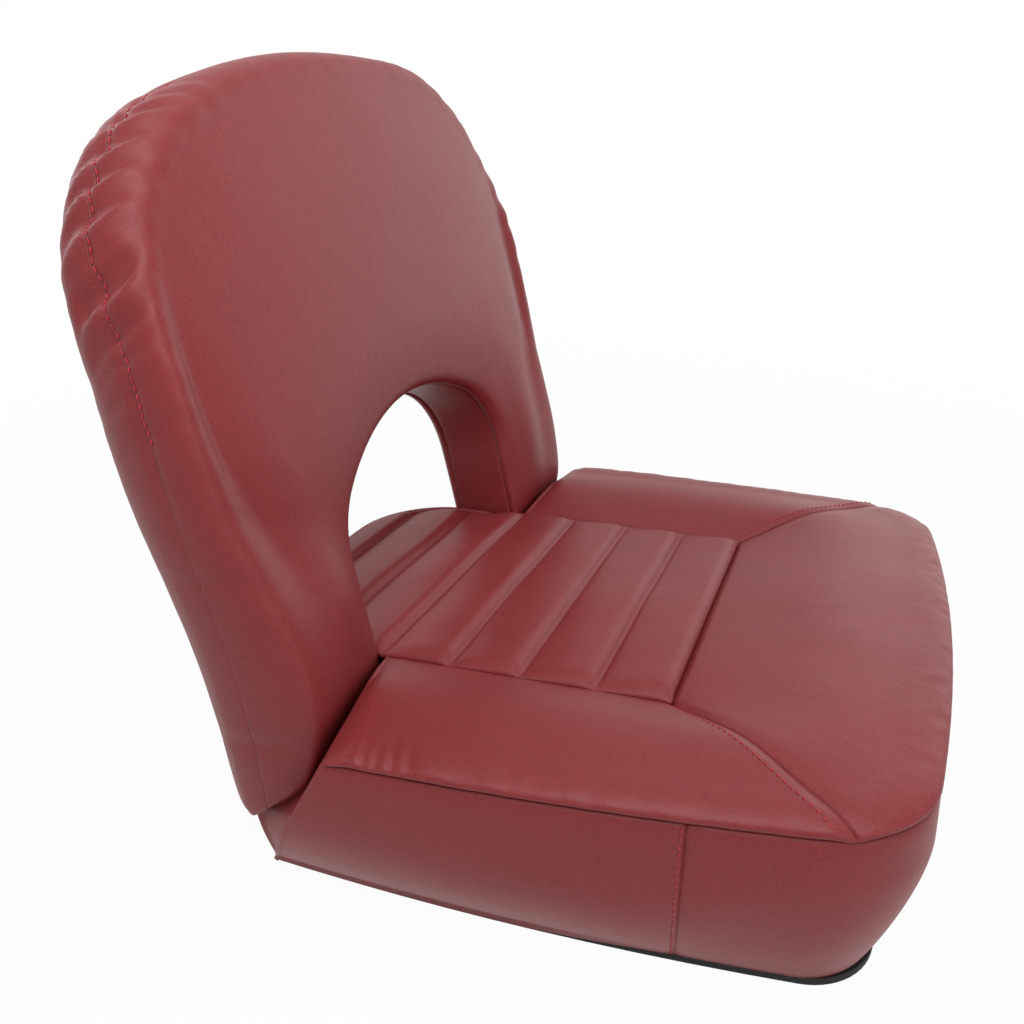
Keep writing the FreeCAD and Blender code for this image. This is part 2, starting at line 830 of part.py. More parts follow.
def leg_round(name, inset):
    """Side view of the round foot of the legs, from the hinge up to the top of the leg ends."""
    body = on_back(new_body(name))
    radius = size("back_thickness") / 2 - inset
    sketch = new_sketch(body, f"{name}_sketch", "YZ_Plane")
    top = size("sleeve_top")
    draw(sketch, (-radius, top), [
        (-radius, 0), ((0, -radius), (radius, 0)), (radius, top), (-radius, top)])
    pad(body, sketch, "2 * dims.back_width")
    return body


def back_core(name, gap):
    """Flat firm slab inside the back: the arch and its opening set in by the padding, less a gap."""
    body = on_back(new_body(name))
    inset = size("core_margin") + gap
    foot = size("foam_foot") + gap
    sketch = new_sketch(body, f"{name}_sketch", "XZ_Plane")
    draw_back_plan(sketch, inset, foot)
    pad(body, sketch, f"dims.core_thickness - 2 * {gap}")
    hole = new_sketch(body, f"{name}_opening", "XZ_Plane")
    draw_opening(hole, inset, foot - size("core_margin"))
    pocket(body, hole, "dims.core_thickness")
    return body


def back_pieces(rooms):
    """Firm core, front and rear cushion, opening band and leg ends of the back."""
    cover = size("cover_thickness")
    outer = back_block("back_outer", 0.0)
    inner = back_block("back_inner", cover)
    padding = cut(outer, back_core("back_core_room", 0.0))
    top = size("sleeve_top")
    gap = size("cover_gap")
    edge = opening_prism("band_room", size("band_margin"), "2 * dims.back_thickness")
    band = opening_prism("band_form", size("band_margin") - gap, "2 * dims.back_thickness")
    front = region("front_half", (-FAR, -FAR, top), (FAR, 0, FAR), BACK_FRAME)
    rear = region("rear_half", (-FAR, 0, top), (FAR, FAR, FAR), BACK_FRAME)
    above = region("above_legs", (-FAR, -FAR, top), (FAR, FAR, FAR), BACK_FRAME)
    add_node(cut(common(padding, front), edge), "back_front_cushion")
    add_node(cut(common(padding, rear), edge), "back_rear_cushion")
    add_node(common(padding, band, above), "back_opening_band")
    add_node(cut(back_core("back_core", gap), *rooms), "back_core_foam")

    legs = cut(common(outer, leg_round("leg_outer", 0.0)), common(inner, leg_round("leg_inner", cover)))
    seat_side = sleeve_limit()
    for label, place in sides():
        low = 0 if place > 0 else -FAR
        half = region(f"leg_{label}_zone", (low, -FAR, -FAR), (low + FAR, FAR, top), BACK_FRAME)
        add_node(cut(common(legs, half), seat_side), f"leg_sleeve_{label}")


def sleeve_limit():
    """Everything ahead of the slanted faces of the seat, less a gap, which the leg ends stay out of."""
    body = new_body("sleeve_limit")
    sketch = new_sketch(body, "sleeve_limit_sketch", "YZ_Plane")
    shift = size("sleeve_gap") / math.cos(math.radians(size("notch_lean")))
    draw(sketch, (notch_at(BELOW) + shift, BELOW), [
        (notch_at(ABOVE) + shift, ABOVE), (-FAR, ABOVE), (-FAR, BELOW), (notch_at(BELOW) + shift, BELOW)])
    pad(body, sketch, "2 * dims.seat_width")
    return body


# Ratchet hinges, each drawn about its own axis with y to the rear and z up

def pawl_pivot():
    return polar(size("pawl_reach"), size("pawl_turn"))


def draw_pin_hole(sketch, centre):
    """The square hole of a cross pin."""
    half = size("pin_size") / 2 + size("running_gap")
    low, high = (centre[0] - half, centre[1] - half), (centre[0] + half, centre[1] + half)
    draw(sketch, low, [(high[0], low[1]), high, (low[0], high[1]), low])


def bracket(label, place):
    """Forked steel bracket: a stem in the rail and two cheeks that hold the ratchet and its pawl."""
    body = new_body(f"bracket_{label}")
    sketch = new_sketch(body, f"bracket_{label}_sketch", "YZ_Plane")
    radius = size("bracket_radius")
    low = -size("rail_drop") - size("stem_height") / 2
    high = low + size("stem_height")
    end = -size("bracket_length")
    start = (-math.sqrt(radius * radius - low * low), low)
    pivot = pawl_pivot()
    hub = size("pawl_hub") + size("pocket_margin")
    shoulder = (pivot[0] - hub, pivot[1])
    draw(sketch, (end, low), [
        start,
        (polar(radius, -50), polar(radius, 0)),
        (polar(radius, 50), polar(radius, 95)),
        (pivot[0], pivot[1] + hub),
        (polar(hub, 135, pivot), shoulder),
        (shoulder[0], high),
        (end, high),
        (end, low),
    ])
    pad(body, sketch, "dims.bracket_width")
    slot = new_sketch(body, f"bracket_{label}_slot", "YZ_Plane")
    reach = 2 * radius
    draw(slot, (-size("slot_end"), -reach), [
        (reach, -reach), (reach, reach), (-reach, reach), (-reach, high),
        (-size("slot_end"), high), (-size("slot_end"), -reach)])
    pocket(body, slot, "dims.bracket_slot")
    holes = new_sketch(body, f"bracket_{label}_holes", "YZ_Plane")
    circle(holes, (0, 0), size("pivot_diameter") / 2 + size("running_gap"),
           "dims.pivot_diameter / 2 + dims.running_gap")
    circle(holes, pivot, size("pawl_rivet") / 2 + size("running_gap"),
           "dims.pawl_rivet / 2 + dims.running_gap")
    draw_pin_hole(holes, (-size("rail_end") - size("pin_edge"), -size("rail_drop")))
    pocket(body, holes, "2 * dims.bracket_width")
    body.Placement = FreeCAD.Placement(
        Vector(place, size("hinge_place"), size("hinge_height")), FreeCAD.Rotation())
    return add_node(body, f"hinge_bracket_{label}")


def ratchet_arm(label, place):
    """Toothed disc with the arm that is riveted into the upright of the back."""
    body = new_body(f"arm_{label}")
    tip = size("tooth_tip")
    root = size("tooth_root")
    pitch = size("tooth_pitch")
    steep = size("tooth_gap_share") * pitch
    land = size("tooth_land_share") * pitch
    first = size("pawl_angle") + size("back_lean") - pitch
    disc = new_sketch(body, f"arm_{label}_disc", "YZ_Plane")
    here = polar(tip, first - pitch + steep)
    steps = []
    for number in range(int(size("tooth_count"))):
        gap = first + number * pitch
        steps += [
            polar(tip, gap - pitch + steep + land),
            polar(root, gap - steep),
            polar(root, gap + steep),
            polar(tip, gap + steep),
        ]
    last = first + (size("tooth_count") - 1) * pitch + steep
    rest = 360 - (last - (first - pitch + steep))
    steps.append((polar(tip, last + rest / 4), polar(tip, last + rest / 2)))
    steps.append((polar(tip, last + 3 * rest / 4), here))
    draw(disc, here, steps)
    pad(body, disc, "dims.arm_thickness")
    arm = new_sketch(body, f"arm_{label}_strap", "YZ_Plane")
    half = size("arm_width") / 2
    top = size("arm_top")
    draw(arm, (-half, 0), [(half, 0), (half, top), (-half, top), (-half, 0)])
    pad(body, arm, "dims.arm_thickness")
    holes = new_sketch(body, f"arm_{label}_holes", "YZ_Plane")
    circle(holes, (0, 0), size("pivot_diameter") / 2 + size("running_gap"),
           "dims.pivot_diameter / 2 + dims.running_gap")
    draw_pin_hole(holes, (0, size("upright_foot") + size("pin_edge")))
    pocket(body, holes, "2 * dims.arm_thickness")
    body.Placement = BACK_FRAME.multiply(FreeCAD.Placement(Vector(place, 0, 0), FreeCAD.Rotation()))
    return add_node(body, f"ratchet_arm_{label}")


def pawl_points():
    """Named corners of the pawl about the hinge axis: nose, heel and the two sides of its finger."""
    angle = size("pawl_angle")
    middle = (size("pawl_turn") + angle) / 2
    gap = size("tube_gap")
    nose = size("nose_angle")
    inside = size("pawl_reach") - size("pawl_hub")
    return {
        "nose_low": polar(size("tooth_root") + gap, angle + nose),
        "nose_high": polar(size("tooth_root") + gap, angle - nose),
        "ramp": polar(size("tooth_tip") + 2 * gap, angle - 2 * nose),
        "inner": polar(inside - gap, middle),
        "hub": polar(inside, size("pawl_turn")),
        "outer": polar(inside + size("pawl_hub"), middle + nose),
        "heel": polar(inside + size("pawl_hub") / 2, angle + nose),
        "shelf": polar(size("tooth_tip") + 2 * gap, angle + nose),
    }


def pawl(label, place):
    """Pawl that drops into a gap of the teeth: a hub on its rivet, a bent finger and a nose."""
    body = new_body(f"pawl_{label}")
    sketch = new_sketch(body, f"pawl_{label}_sketch", "YZ_Plane")
    corner = pawl_points()
    pivot = pawl_pivot()
    hub = size("pawl_hub")
    wrap = size("pawl_hub_wrap")
    on_hub = lambda share: polar(hub, size("pawl_turn") - 180 + share * wrap, pivot)
    draw(sketch, corner["nose_low"], [
        corner["nose_high"],
        corner["ramp"],
        corner["inner"],
        corner["hub"],
        (on_hub(0.25), on_hub(0.5)),
        (on_hub(0.75), on_hub(1)),
        corner["outer"],
        corner["heel"],
        corner["shelf"],
        corner["nose_low"],
    ])
    pad(body, sketch, "dims.arm_thickness")
    hole = new_sketch(body, f"pawl_{label}_hole", "YZ_Plane")
    circle(hole, pivot, size("pawl_rivet") / 2 + size("running_gap"),
           "dims.pawl_rivet / 2 + dims.running_gap")
    pocket(body, hole, "2 * dims.arm_thickness")
    body.Placement = FreeCAD.Placement(
        Vector(place, size("hinge_place"), size("hinge_height")), FreeCAD.Rotation())
    return add_node(body, f"hinge_pawl_{label}")


def pawl_spring(label, place):
    """Leaf spring between the end of the bracket's slot and the back of the pawl."""
    body = new_body(f"spring_{label}")
    sketch = new_sketch(body, f"spring_{label}_sketch", "YZ_Plane")
    thick = size("spring_thickness")
    wall = -size("slot_end")
    low = -size("rail_drop") - size("stem_height") / 2 + thick
    bend = low + size("stem_height") / 2
    outer, heel = pawl_points()["outer"], pawl_points()["heel"]
    side = Vector(heel[0] - outer[0], heel[1] - outer[1], 0).normalize()
    away = Vector(side.y, -side.x, 0)
    touch = Vector((outer[0] + heel[0]) / 2, (outer[1] + heel[1]) / 2, 0) + away * size("tube_gap")
    tip = touch + away * thick
    draw(sketch, (wall, low), [
        (wall + thick, low), (wall + thick, bend), (touch.x, touch.y), (tip.x, tip.y),
        (wall, bend + thick), (wall, low)])
    pad(body, sketch, "dims.spring_width")
    body.Placement = FreeCAD.Placement(
        Vector(place, size("hinge_place"), size("hinge_height")), FreeCAD.Rotation())
    return add_node(body, f"pawl_spring_{label}")


def hinge_rivets(label, make, centre):
    """One rivet a side, through both cheeks of the bracket."""
    pieces = []
    for side, place in sides():
        body = make(f"{label}_{side}")
        body.Placement = FreeCAD.Placement(
            Vector(place, size("hinge_place") + centre[0], size("hinge_height") + centre[1]),
            FreeCAD.Rotation())
        pieces.append(body)
    group(label, pieces)


def hinges():
    for label, place in sides():
        bracket(label, place)
        ratchet_arm(label, place)
        pawl(label, place)
        pawl_spring(label, place)
    hinge_rivets("hinge_pivot_rivets", headed_rivet, (0.0, 0.0))
    hinge_rivets("pawl_rivets", flush_rivet, pawl_pivot())


def seat():
    """All pieces of the seat: base, wall, top panels, frame and foam."""
    core = seat_core("seat_core", size("cover_gap"))
    base_cover()
    seat_boxing(cut(seat_block(), seat_core("seat_core_room", 0.0)))
    seat_panels(core, seat_roll())
    rooms = seat_frame()
    below = region("foam_layer", (-FAR, -FAR, -FAR), (FAR, FAR, -size("core_drop")), SEAM_FRAME)
    add_node(cut(common(core, below), *rooms, *hinge_pockets("foam_pocket")), "seat_foam")


def write_parts():
    """Checks every object and solid, then writes one file per sub-part."""
    doc.recompute()
    for feature in doc.Objects:
        if "Invalid" in feature.State or "Error" in feature.State:
            raise RuntimeError(f"{feature.Name} ({feature.Label}) failed: {feature.State}")
    for feature in nodes:
        if feature.Shape.isNull() or not feature.Shape.isValid() or not feature.Shape.Solids:
            raise RuntimeError(f"{feature.Label} has no valid solid")
    os.makedirs("parts", exist_ok=True)
    for feature in nodes:
        feature.Shape.exportStep(f"parts/{feature.Label}.step")
        box = feature.Shape.BoundBox
        print(f"{feature.Label:24s} solids {len(feature.Shape.Solids)} volume {feature.Shape.Volume:11.0f}",
              f"x {box.XMin:.1f} {box.XMax:.1f} y {box.YMin:.1f} {box.YMax:.1f}",
              f"z {box.ZMin:.1f} {box.ZMax:.1f}")


seat()
back_pieces(back_frame())
hinges()
write_parts()
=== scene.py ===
"""Floor chair with a ratchet back: padded vinyl pieces, stitching, finishes and stage on the frame."""

import json
import math
import random

import bmesh
import bpy
from bpy.props import FloatProperty, FloatVectorProperty, PointerProperty
from mathutils import Euler, Matrix, Vector, noise


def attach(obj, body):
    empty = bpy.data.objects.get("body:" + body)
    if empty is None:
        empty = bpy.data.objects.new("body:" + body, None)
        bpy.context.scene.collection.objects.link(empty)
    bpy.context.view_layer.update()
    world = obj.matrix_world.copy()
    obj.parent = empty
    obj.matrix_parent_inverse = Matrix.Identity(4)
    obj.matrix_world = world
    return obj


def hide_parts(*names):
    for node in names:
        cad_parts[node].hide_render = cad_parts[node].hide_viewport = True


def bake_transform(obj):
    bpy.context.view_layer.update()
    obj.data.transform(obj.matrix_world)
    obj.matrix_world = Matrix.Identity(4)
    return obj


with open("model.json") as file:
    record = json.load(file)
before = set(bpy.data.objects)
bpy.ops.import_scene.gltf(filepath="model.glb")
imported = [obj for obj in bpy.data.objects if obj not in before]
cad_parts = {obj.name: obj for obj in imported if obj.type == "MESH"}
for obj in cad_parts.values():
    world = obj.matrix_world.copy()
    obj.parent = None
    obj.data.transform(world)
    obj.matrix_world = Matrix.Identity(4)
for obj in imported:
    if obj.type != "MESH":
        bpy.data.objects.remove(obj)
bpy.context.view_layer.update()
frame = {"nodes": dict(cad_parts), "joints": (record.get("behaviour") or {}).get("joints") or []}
HINGE = next(joint for joint in frame["joints"] if joint["name"] == "recline")["pos_m"]

bl_info = {
    "name": "Floor Chair Upholstery",
    "version": (1, 0, 0),
    "blender": (4, 5, 0),
    "location": "View3D > Sidebar > Floor Chair",
    "description": "Makes the padded cover pieces, stitching and finishes of a reclining floor chair",
    "category": "Object",
}


def linear(code):
    """Linear red, green and blue of an sRGB hex code."""
    parts = [int(code[i:i + 2], 16) / 255.0 for i in (1, 3, 5)]
    return tuple(p / 12.92 if p <= 0.04045 else ((p + 0.055) / 1.055) ** 2.4 for p in parts)


def length(label, what, metres):
    """A length property."""
    return FloatProperty(name=label, description=what, default=metres, unit="LENGTH", precision=4)


def angle(label, what, degrees):
    """An angle property."""
    return FloatProperty(name=label, description=what, default=math.radians(degrees), subtype="ANGLE")


def number(label, what, value):
    """A property without a unit."""
    return FloatProperty(name=label, description=what, default=value)


def colour(label, what, code):
    """A colour property whose default is an sRGB hex code."""
    return FloatVectorProperty(
        name=label, description=what, default=linear(code), subtype="COLOR", min=0, max=1)


class SeatSizes(bpy.types.PropertyGroup):
    """Sizes of the seat's padded pieces."""
    half: length("Half width", "Half the width of the seat at its rear", 0.255)
    front: length("Front", "Middle of the front edge, forward of the origin", 0.234)
    corner: length("Corner radius", "Radius of the front corners in plan", 0.065)
    corner_side: length("Corner side", "Middle of a front corner, out from the chair's middle", 0.162)
    corner_ahead: length("Corner ahead", "Middle of a front corner, forward of the origin", 0.1605)
    front_turn: angle("Front turn", "Turn of the front edge where a corner starts", 6.0)
    side_turn: angle("Side turn", "Turn of the side where a corner ends", 10.0)
    side_bow: length("Side bow", "How far the sides bow out", 0.0065)
    seam_height: length("Seam height", "Height of the top seam over the floor at the origin", 0.1087)
    seam_fall: number("Seam fall", "Fall of the top seam per metre to the rear", 0.045)
    notch_foot: length("Notch foot", "Where the seat's rear end meets the floor behind the sides", 0.148)
    notch_lean: angle("Notch lean", "Forward lean of the seat's rear end", 23.0)
    left_set_back: length("Left set-back", "How much further back the left end stands at its top", 0.012)
    notch_skew: number("Notch skew", "How much further forward the seat's end stands outside", 0.20)
    tongue_half: length("Tongue half width", "Half width of the seat between the back's legs", 0.124)
    tongue_end: length("Tongue end", "Rear end of the seat between the back's legs", 0.245)
    tongue_corner: length("Tongue corner", "Radius of the tongue's rear corners", 0.070)
    pleat_front: length("Front pleat seam", "Seam between the pleats and the front bolster", -0.078)
    pleat_pitch: length("Pleat pitch", "Distance from one tuck to the next", 0.0495)
    pleat_half: length("Pleat half width", "Half width of the pleated panel at its front seam", 0.1285)
    pleat_flare: number("Pleat flare", "Widening of the pleats to the rear", 0.028)
    valley: length("Tuck depth", "Depth of the tucks under the top seam", 0.0045)
    crest: length("Pleat crest", "Height of the pleats over the top seam", 0.0010)
    crown: length("Bolster crown", "Height of the bolsters over the top seam", 0.014)
    left_low: length("Left side low", "How much lower the seat's top stands on its left", 0.0050)
    edge: length("Bolster edge", "Height at which a bolster starts to roll over its edge", 0.0095)
    roll: length("Edge roll", "Width of the rolled edge of a bolster", 0.024)
    mitre: angle("Mitre place", "Where on a front corner the mitre seam ends, from the side", 24.0)
    boxing_seam: length("Boxing seam", "Place of the boxing's vertical seam", -0.109)
    base: length("Base height", "Lower edge of the boxing over the floor", 0.005)
    draw_in: length("Base draw-in", "How far the boxing draws in at its lower edge", 0.0188)
    draw_height: length("Draw-in height", "Height over which the boxing draws in", 0.062)


class BackSizes(bpy.types.PropertyGroup):
    """Sizes of the back's padded pieces."""
    lean: angle("Lean", "Backward lean at rest", 12.7)
    left_half: length("Left half width", "Half width of the back on its left", 0.235)
    right_half: length("Right half width", "Half width of the back on its right", 0.2386)
    top: length("Top", "Height of the arch's top over the hinge, along the back", 0.4406)
    left_shoulder: length("Left shoulder", "Where the left shoulder starts to bend, over the hinge", 0.291)
    left_radius: length("Left shoulder radius", "Radius of the left shoulder", 0.145)
    right_shoulder: length("Right shoulder", "Where the right shoulder starts to bend, over the hinge", 0.305)
    right_radius: length("Right shoulder radius", "Radius of the right shoulder", 0.118)
    opening_half: length("Opening half width", "Half width of the opening between the legs", 0.128)
    opening_top: length("Opening top", "Top of the opening, over the hinge", 0.199)
    opening_start: length("Opening bend", "Where the opening's sides start to bend", 0.114)
    opening_radius: length("Left opening radius", "Radius of the opening's upper left corner", 0.072)
    right_opening_radius: length("Right opening radius", "Radius of the opening's upper right corner", 0.060)
    cant: number("Cant", "How much higher the left shoulder stands, per width", 0.036)
    bow: length("Right bow", "How far the right side bows out over the hinge", 0.011)
    bow_height: length("Bow height", "Height of the bow's middle over the hinge", 0.222)
    low: length("Leg part", "Height up to which the legs are straight on both sides", 0.110)
    thick: length("Half thickness", "Half the thickness of the back", 0.038)
    taper: number("Taper", "How much thinner the back is at its top, as a share", 0.20)
    leg_edge: length("Leg edge width", "Width of the rounded outer edge in front of the legs", 0.046)
    front_edge: length("Front edge width", "Width of the rounded outer edge in front", 0.026)
    rear_edge: length("Rear edge width", "Width of the rounded outer edge behind", 0.032)
    inner_edge: length("Inner edge width", "Width of the rounded edge at the opening", 0.018)
    band_half: length("Band half width", "Half the width of the band in the opening", 0.025)
    puff: length("Puff", "How far the faces swell in the middle", 0.006)


class Finish(bpy.types.PropertyGroup):
    """Colours of the materials."""
    vinyl_light: colour("Vinyl light", "Burgundy vinyl, light patches", "#8B3032")
    vinyl_dark: colour("Vinyl dark", "Burgundy vinyl, dark patches", "#7F2A2C")
    vinyl_pore: colour("Vinyl pores", "Burgundy vinyl, in the grain's pores", "#631F22")
    thread: colour("Thread", "Red sewing thread of the seat", "#C83440")
    dark_thread: colour("Dark thread", "Sewing thread of the back", "#BE303A")
    foam: colour("Foam", "Upholstery foam", "#D9CFA8")
    black_cloth: colour("Base cloth", "Black non-woven base cloth", "#17171A")
    belt: colour("Belt", "Elastic support belts", "#2B2C2E")
    tube: colour("Tube", "Painted steel tube", "#3A3D41")
    zinc: colour("Zinc", "Zinc-plated hinge steel", "#B9BCBE")
    spring: colour("Spring", "Spring steel", "#8B8D90")
    floor: colour("Floor", "Studio floor", "#F4F4F4")


# where the two sides lie along x
SIDES = ((1.0, "left"), (-1.0, "right"))


def seat_sizes():
    return bpy.context.scene.chair_seat


def back_sizes():
    return bpy.context.scene.chair_back


def finish():
    return bpy.context.scene.chair_finish


def ease(share):
    """Smooth step from 0 to 1."""
    share = min(max(share, 0.0), 1.0)
    return share * share * (3.0 - 2.0 * share)


def mix(a, b, share):
    return a + (b - a) * share


def sign(value):
    return 1.0 if value >= 0.0 else -1.0


def bell(distance, width):
    """1 at distance 0, falling off over width."""
    return math.exp(-(distance / width) ** 2)


def ripple(point, size, height):
    """Smooth random height at a point, with bumps about size across."""
    return noise.noise(point / size) * height


def patch(bm, along, across, place, inside):
    """Adds a sheet of along x across cells, set down by place(u, v), with its faces turned away from inside;
    returns each vertex with its u and v."""
    made = bmesh.ops.create_grid(bm, x_segments=along, y_segments=across, size=0.5)
    grid = {vert: (vert.co.x + 0.5, vert.co.y + 0.5) for vert in made["verts"]}
    for vert, (u, v) in grid.items():
        vert.co = place(u, v)
    faces = list({face for vert in grid for face in vert.link_faces})
    for face in faces:
        face.normal_update()
        face.smooth = True
    if sum(face.normal.dot(face.calc_center_median() - inside) for face in faces) < 0.0:
        bmesh.ops.reverse_faces(bm, faces=faces)
    return grid


def piece(name, bm, material):
    """Makes an object of a bmesh."""
    mesh = bpy.data.meshes.new(name)
    bm.to_mesh(mesh)
    bm.free()
    made = bpy.data.objects.new(name, mesh)
    bpy.context.scene.collection.objects.link(made)
    mesh.materials.append(material)
    return made


def add_wall(made, thickness):
    """Gives a sheet a wall of that thickness behind its faces."""
    wall = made.modifiers.new("Wall", "SOLIDIFY")
    wall.thickness = thickness
    wall.offset = -1.0


# frames that the cloth solver runs, the furthest that a point may move, and the shortest move divided by
CLOTH_FRAMES = 20
SWELL_CAP = 0.0025
NO_MOVE = 1e-9


def sewn_points(bm, grid, sewn):
    """Numbers of a sheet's points that don't swell: its border and those that sewn(u, v, point) names."""
    bm.verts.index_update()
    return [vert.index for vert, (u, v) in grid.items() if vert.is_boundary or sewn(u, v, vert.co)]


def swell(made, still, cap):
    """Blows a sheet up with the cloth solver: still points stay, and none moves further than cap(point)."""
    mesh = made.data
    made.vertex_groups.new(name="seams").add(still, 1.0, "REPLACE")
    cloth = made.modifiers.new("Cloth", "CLOTH")
    cloth.settings.vertex_group_mass = "seams"
    cloth.settings.use_pressure = True
    cloth.settings.uniform_pressure_force = 4.0
    cloth.settings.effector_weights.gravity = 0.0
    cloth.settings.tension_stiffness = 25.0
    cloth.settings.compression_stiffness = 25.0
    cloth.settings.bending_stiffness = 8.0
    cloth.collision_settings.use_collision = False
    scene = bpy.context.scene
    for step in range(1, CLOTH_FRAMES + 1):
        scene.frame_set(step)
    blown = made.evaluated_get(bpy.context.evaluated_depsgraph_get()).data
    moves = [new.co - old.co for new, old in zip(blown.vertices, mesh.vertices)]
    made.modifiers.remove(cloth)
    made.vertex_groups.clear()
    for vert, move in zip(mesh.vertices, moves):
        vert.co += move * min(1.0, cap(vert.co) / max(move.length, NO_MOVE))
    scene.frame_set(1)


def seam_z(y):
    """Height of the seat's top seam."""
    s = seat_sizes()
    return s.seam_height - s.seam_fall * y


def settle_seat(point):
    """Sets a point of the seat down: its top sinks a little to the left."""
    s = seat_sizes()
    point.z -= s.left_low * max(point.x / s.half, 0.0) * min(point.z / s.seam_height, 1.0)
    return point


# share of the right end's skew that the left end has, and share of the seam's height up to which a skew grows
LEFT_SKEW = 0.4
SKEW_TOP = 1.2


def notch_y(z, x):
    """Rear end of the seat behind the sides, at a height and a place across; its top stands askew."""
    s = seat_sizes()
    skew = s.notch_skew * (0.5 * (s.half + s.pleat_half) - abs(x))
    if x > 0.0:
        skew = LEFT_SKEW * skew + s.left_set_back
    return s.notch_foot - z * math.tan(s.notch_lean) + skew * min(z / s.seam_height, SKEW_TOP)


def pleat_edge(y):
    """Half width of the pleated panel."""
    s = seat_sizes()
    return s.pleat_half + s.pleat_flare * (y - s.pleat_front)


def front_run():
    """Run along the outline from the front's middle to a corner's start."""
    s = seat_sizes()
    return s.corner_side + s.corner * math.sin(s.front_turn)


def corner_run():
    """Run along the outline to a corner's end."""
    s = seat_sizes()
    return front_run() + s.corner * (math.pi / 2.0 - s.front_turn - s.side_turn)


def mitre_run():
    """Run along the outline to the mitre seam."""
    s = seat_sizes()
    return front_run() + s.corner * (math.pi / 2.0 - s.front_turn - s.mitre)


def run_at(y):
    """Run along the seat's outline to a place on its side."""
    s = seat_sizes()
    return corner_run() + y + s.corner_ahead + s.corner * math.sin(s.side_turn)


def seat_outline(run):
    """Point on the seat's outline and the way out there, run metres from the front's middle to the left."""
    s = seat_sizes()
    way = abs(run)
    hand = sign(run)
    if way < front_run():
        fall = s.front - s.corner_ahead - s.corner * math.cos(s.front_turn)
        share = way / front_run()
        x, y = way, fall * share * share - s.front
        out = Vector((2.0 * fall * share / front_run(), -1.0)).normalized()
    elif way < corner_run():
        turn = (way - front_run()) / s.corner + s.front_turn - math.pi / 2.0
        out = Vector((math.cos(turn), math.sin(turn)))
        x, y = s.corner_side + s.corner * out.x, s.corner * out.y - s.corner_ahead
    else:
        start_x = s.corner_side + s.corner * math.cos(s.side_turn)
        start_y = -s.corner_ahead - s.corner * math.sin(s.side_turn)
        y = start_y + way - corner_run()
        share = (y - start_y) / (s.notch_foot - start_y)
        x = mix(start_x, s.half, share) + 4.0 * s.side_bow * share * (1.0 - share)
        slope = (s.half - start_x + 4.0 * s.side_bow * (1.0 - 2.0 * share)) / (s.notch_foot - start_y)
        out = Vector((1.0, -slope)).normalized()
    return Vector((hand * x, y)), Vector((hand * out.x, out.y))


# share of a bolster's sheet at which its edge starts to roll over, how far it turns, and its overhang
ROLL_START = 0.66
ROLL_TURN = math.radians(112.0)
ROLL_OVERHANG = 0.0008
# shares of the way to the roll where a bolster is highest and where it starts to fall; how round it rises
CROWN_PLACE = 0.78
FALL_START = 0.45
RISE_POWER = 1.15


def bolster_section(v, span):
    """Share of the way out and height over the seam plane, from the inner seam (v 0) to the edge (v 1)."""
    s = seat_sizes()
    if v < ROLL_START:
        k = v / ROLL_START
        rise = (s.crown + s.valley) * math.sin(math.pi * 0.5 * min(k / CROWN_PLACE, 1.0)) ** RISE_POWER
        fall = (s.crown - s.edge) * ease((k - FALL_START) / (1.0 - FALL_START))
        return k * (span - s.roll) / span, rise - s.valley - fall
    k = (v - ROLL_START) / (1.0 - ROLL_START)
    deep = s.edge / (1.0 - math.cos(ROLL_TURN))
    out = span - s.roll + (s.roll + ROLL_OVERHANG) * math.sin(ROLL_TURN * k)
    return out / span, s.edge - deep + deep * math.cos(ROLL_TURN * k)


# depth and half width of the groove along a mitre seam
GROOVE = 0.0016
GROOVE_WIDTH = 0.0045
# height over the seam plane to which a bolster sinks at its rear end, how far it does, and over what width
SUNK_HEIGHT = -0.006
SUNK_SHARE = 0.30
SUNK_WIDTH = 0.008
# lengths of the bolsters, which turn shares along them into metres
FRONT_LENGTH = 0.30
SIDE_LENGTH = 0.28
MITRE_LENGTH = 0.25
# size and height of the stuffing's lumps and of the puckers along the edge seam, and where the puckers lie
LUMPS = (0.06, 0.0010)
PUCKERS = (0.011, 0.0009)
PUCKER_PLACE = 0.86
PUCKER_SPREAD = 0.12


def bolster_point(inner, outer, v, groove, sunk):
    """Point on a bolster between an inner seam point and an outline point; groove and sunk draw it down."""
    span = (outer - inner).length
    share, height = bolster_section(v, span)
    flat = inner + (outer - inner) * share
    height = mix(height, min(height, SUNK_HEIGHT), sunk) - GROOVE * groove
    point = Vector((flat.x, flat.y, seam_z(flat.y) + height))
    point.z += ripple(point, *LUMPS) * (1.0 - sunk) * math.sin(math.pi * v)
    along = Vector((flat.x, flat.y, 0.0))
    point.z += ripple(along, *PUCKERS) * bell(v - PUCKER_PLACE, PUCKER_SPREAD)
    return point


def front_bolster_point(u, v):
    """Point on the front bolster: u from the right mitre to the left one, v from the pleats to the edge."""
    s = seat_sizes()
    inner = Vector((mix(-s.pleat_half, s.pleat_half, u), s.pleat_front))
    outer, _ = seat_outline(mix(-mitre_run(), mitre_run(), u))
    groove = bell(min(u, 1.0 - u) * FRONT_LENGTH, GROOVE_WIDTH)
    return settle_seat(bolster_point(inner, outer, v, groove, 0.0))


def side_bolster_ends(side, u):
    """Inner seam point and outline point of a side bolster, u from the mitre to the rear."""
    s = seat_sizes()
    end_in = notch_y(s.seam_height, side * s.pleat_half)
    end_out = notch_y(s.seam_height, side * s.half)
    inner = Vector((s.pleat_half, s.pleat_front)).lerp(Vector((pleat_edge(end_in), end_in)), u)
    outer, _ = seat_outline(mix(mitre_run(), run_at(end_out), u))
    return inner, outer


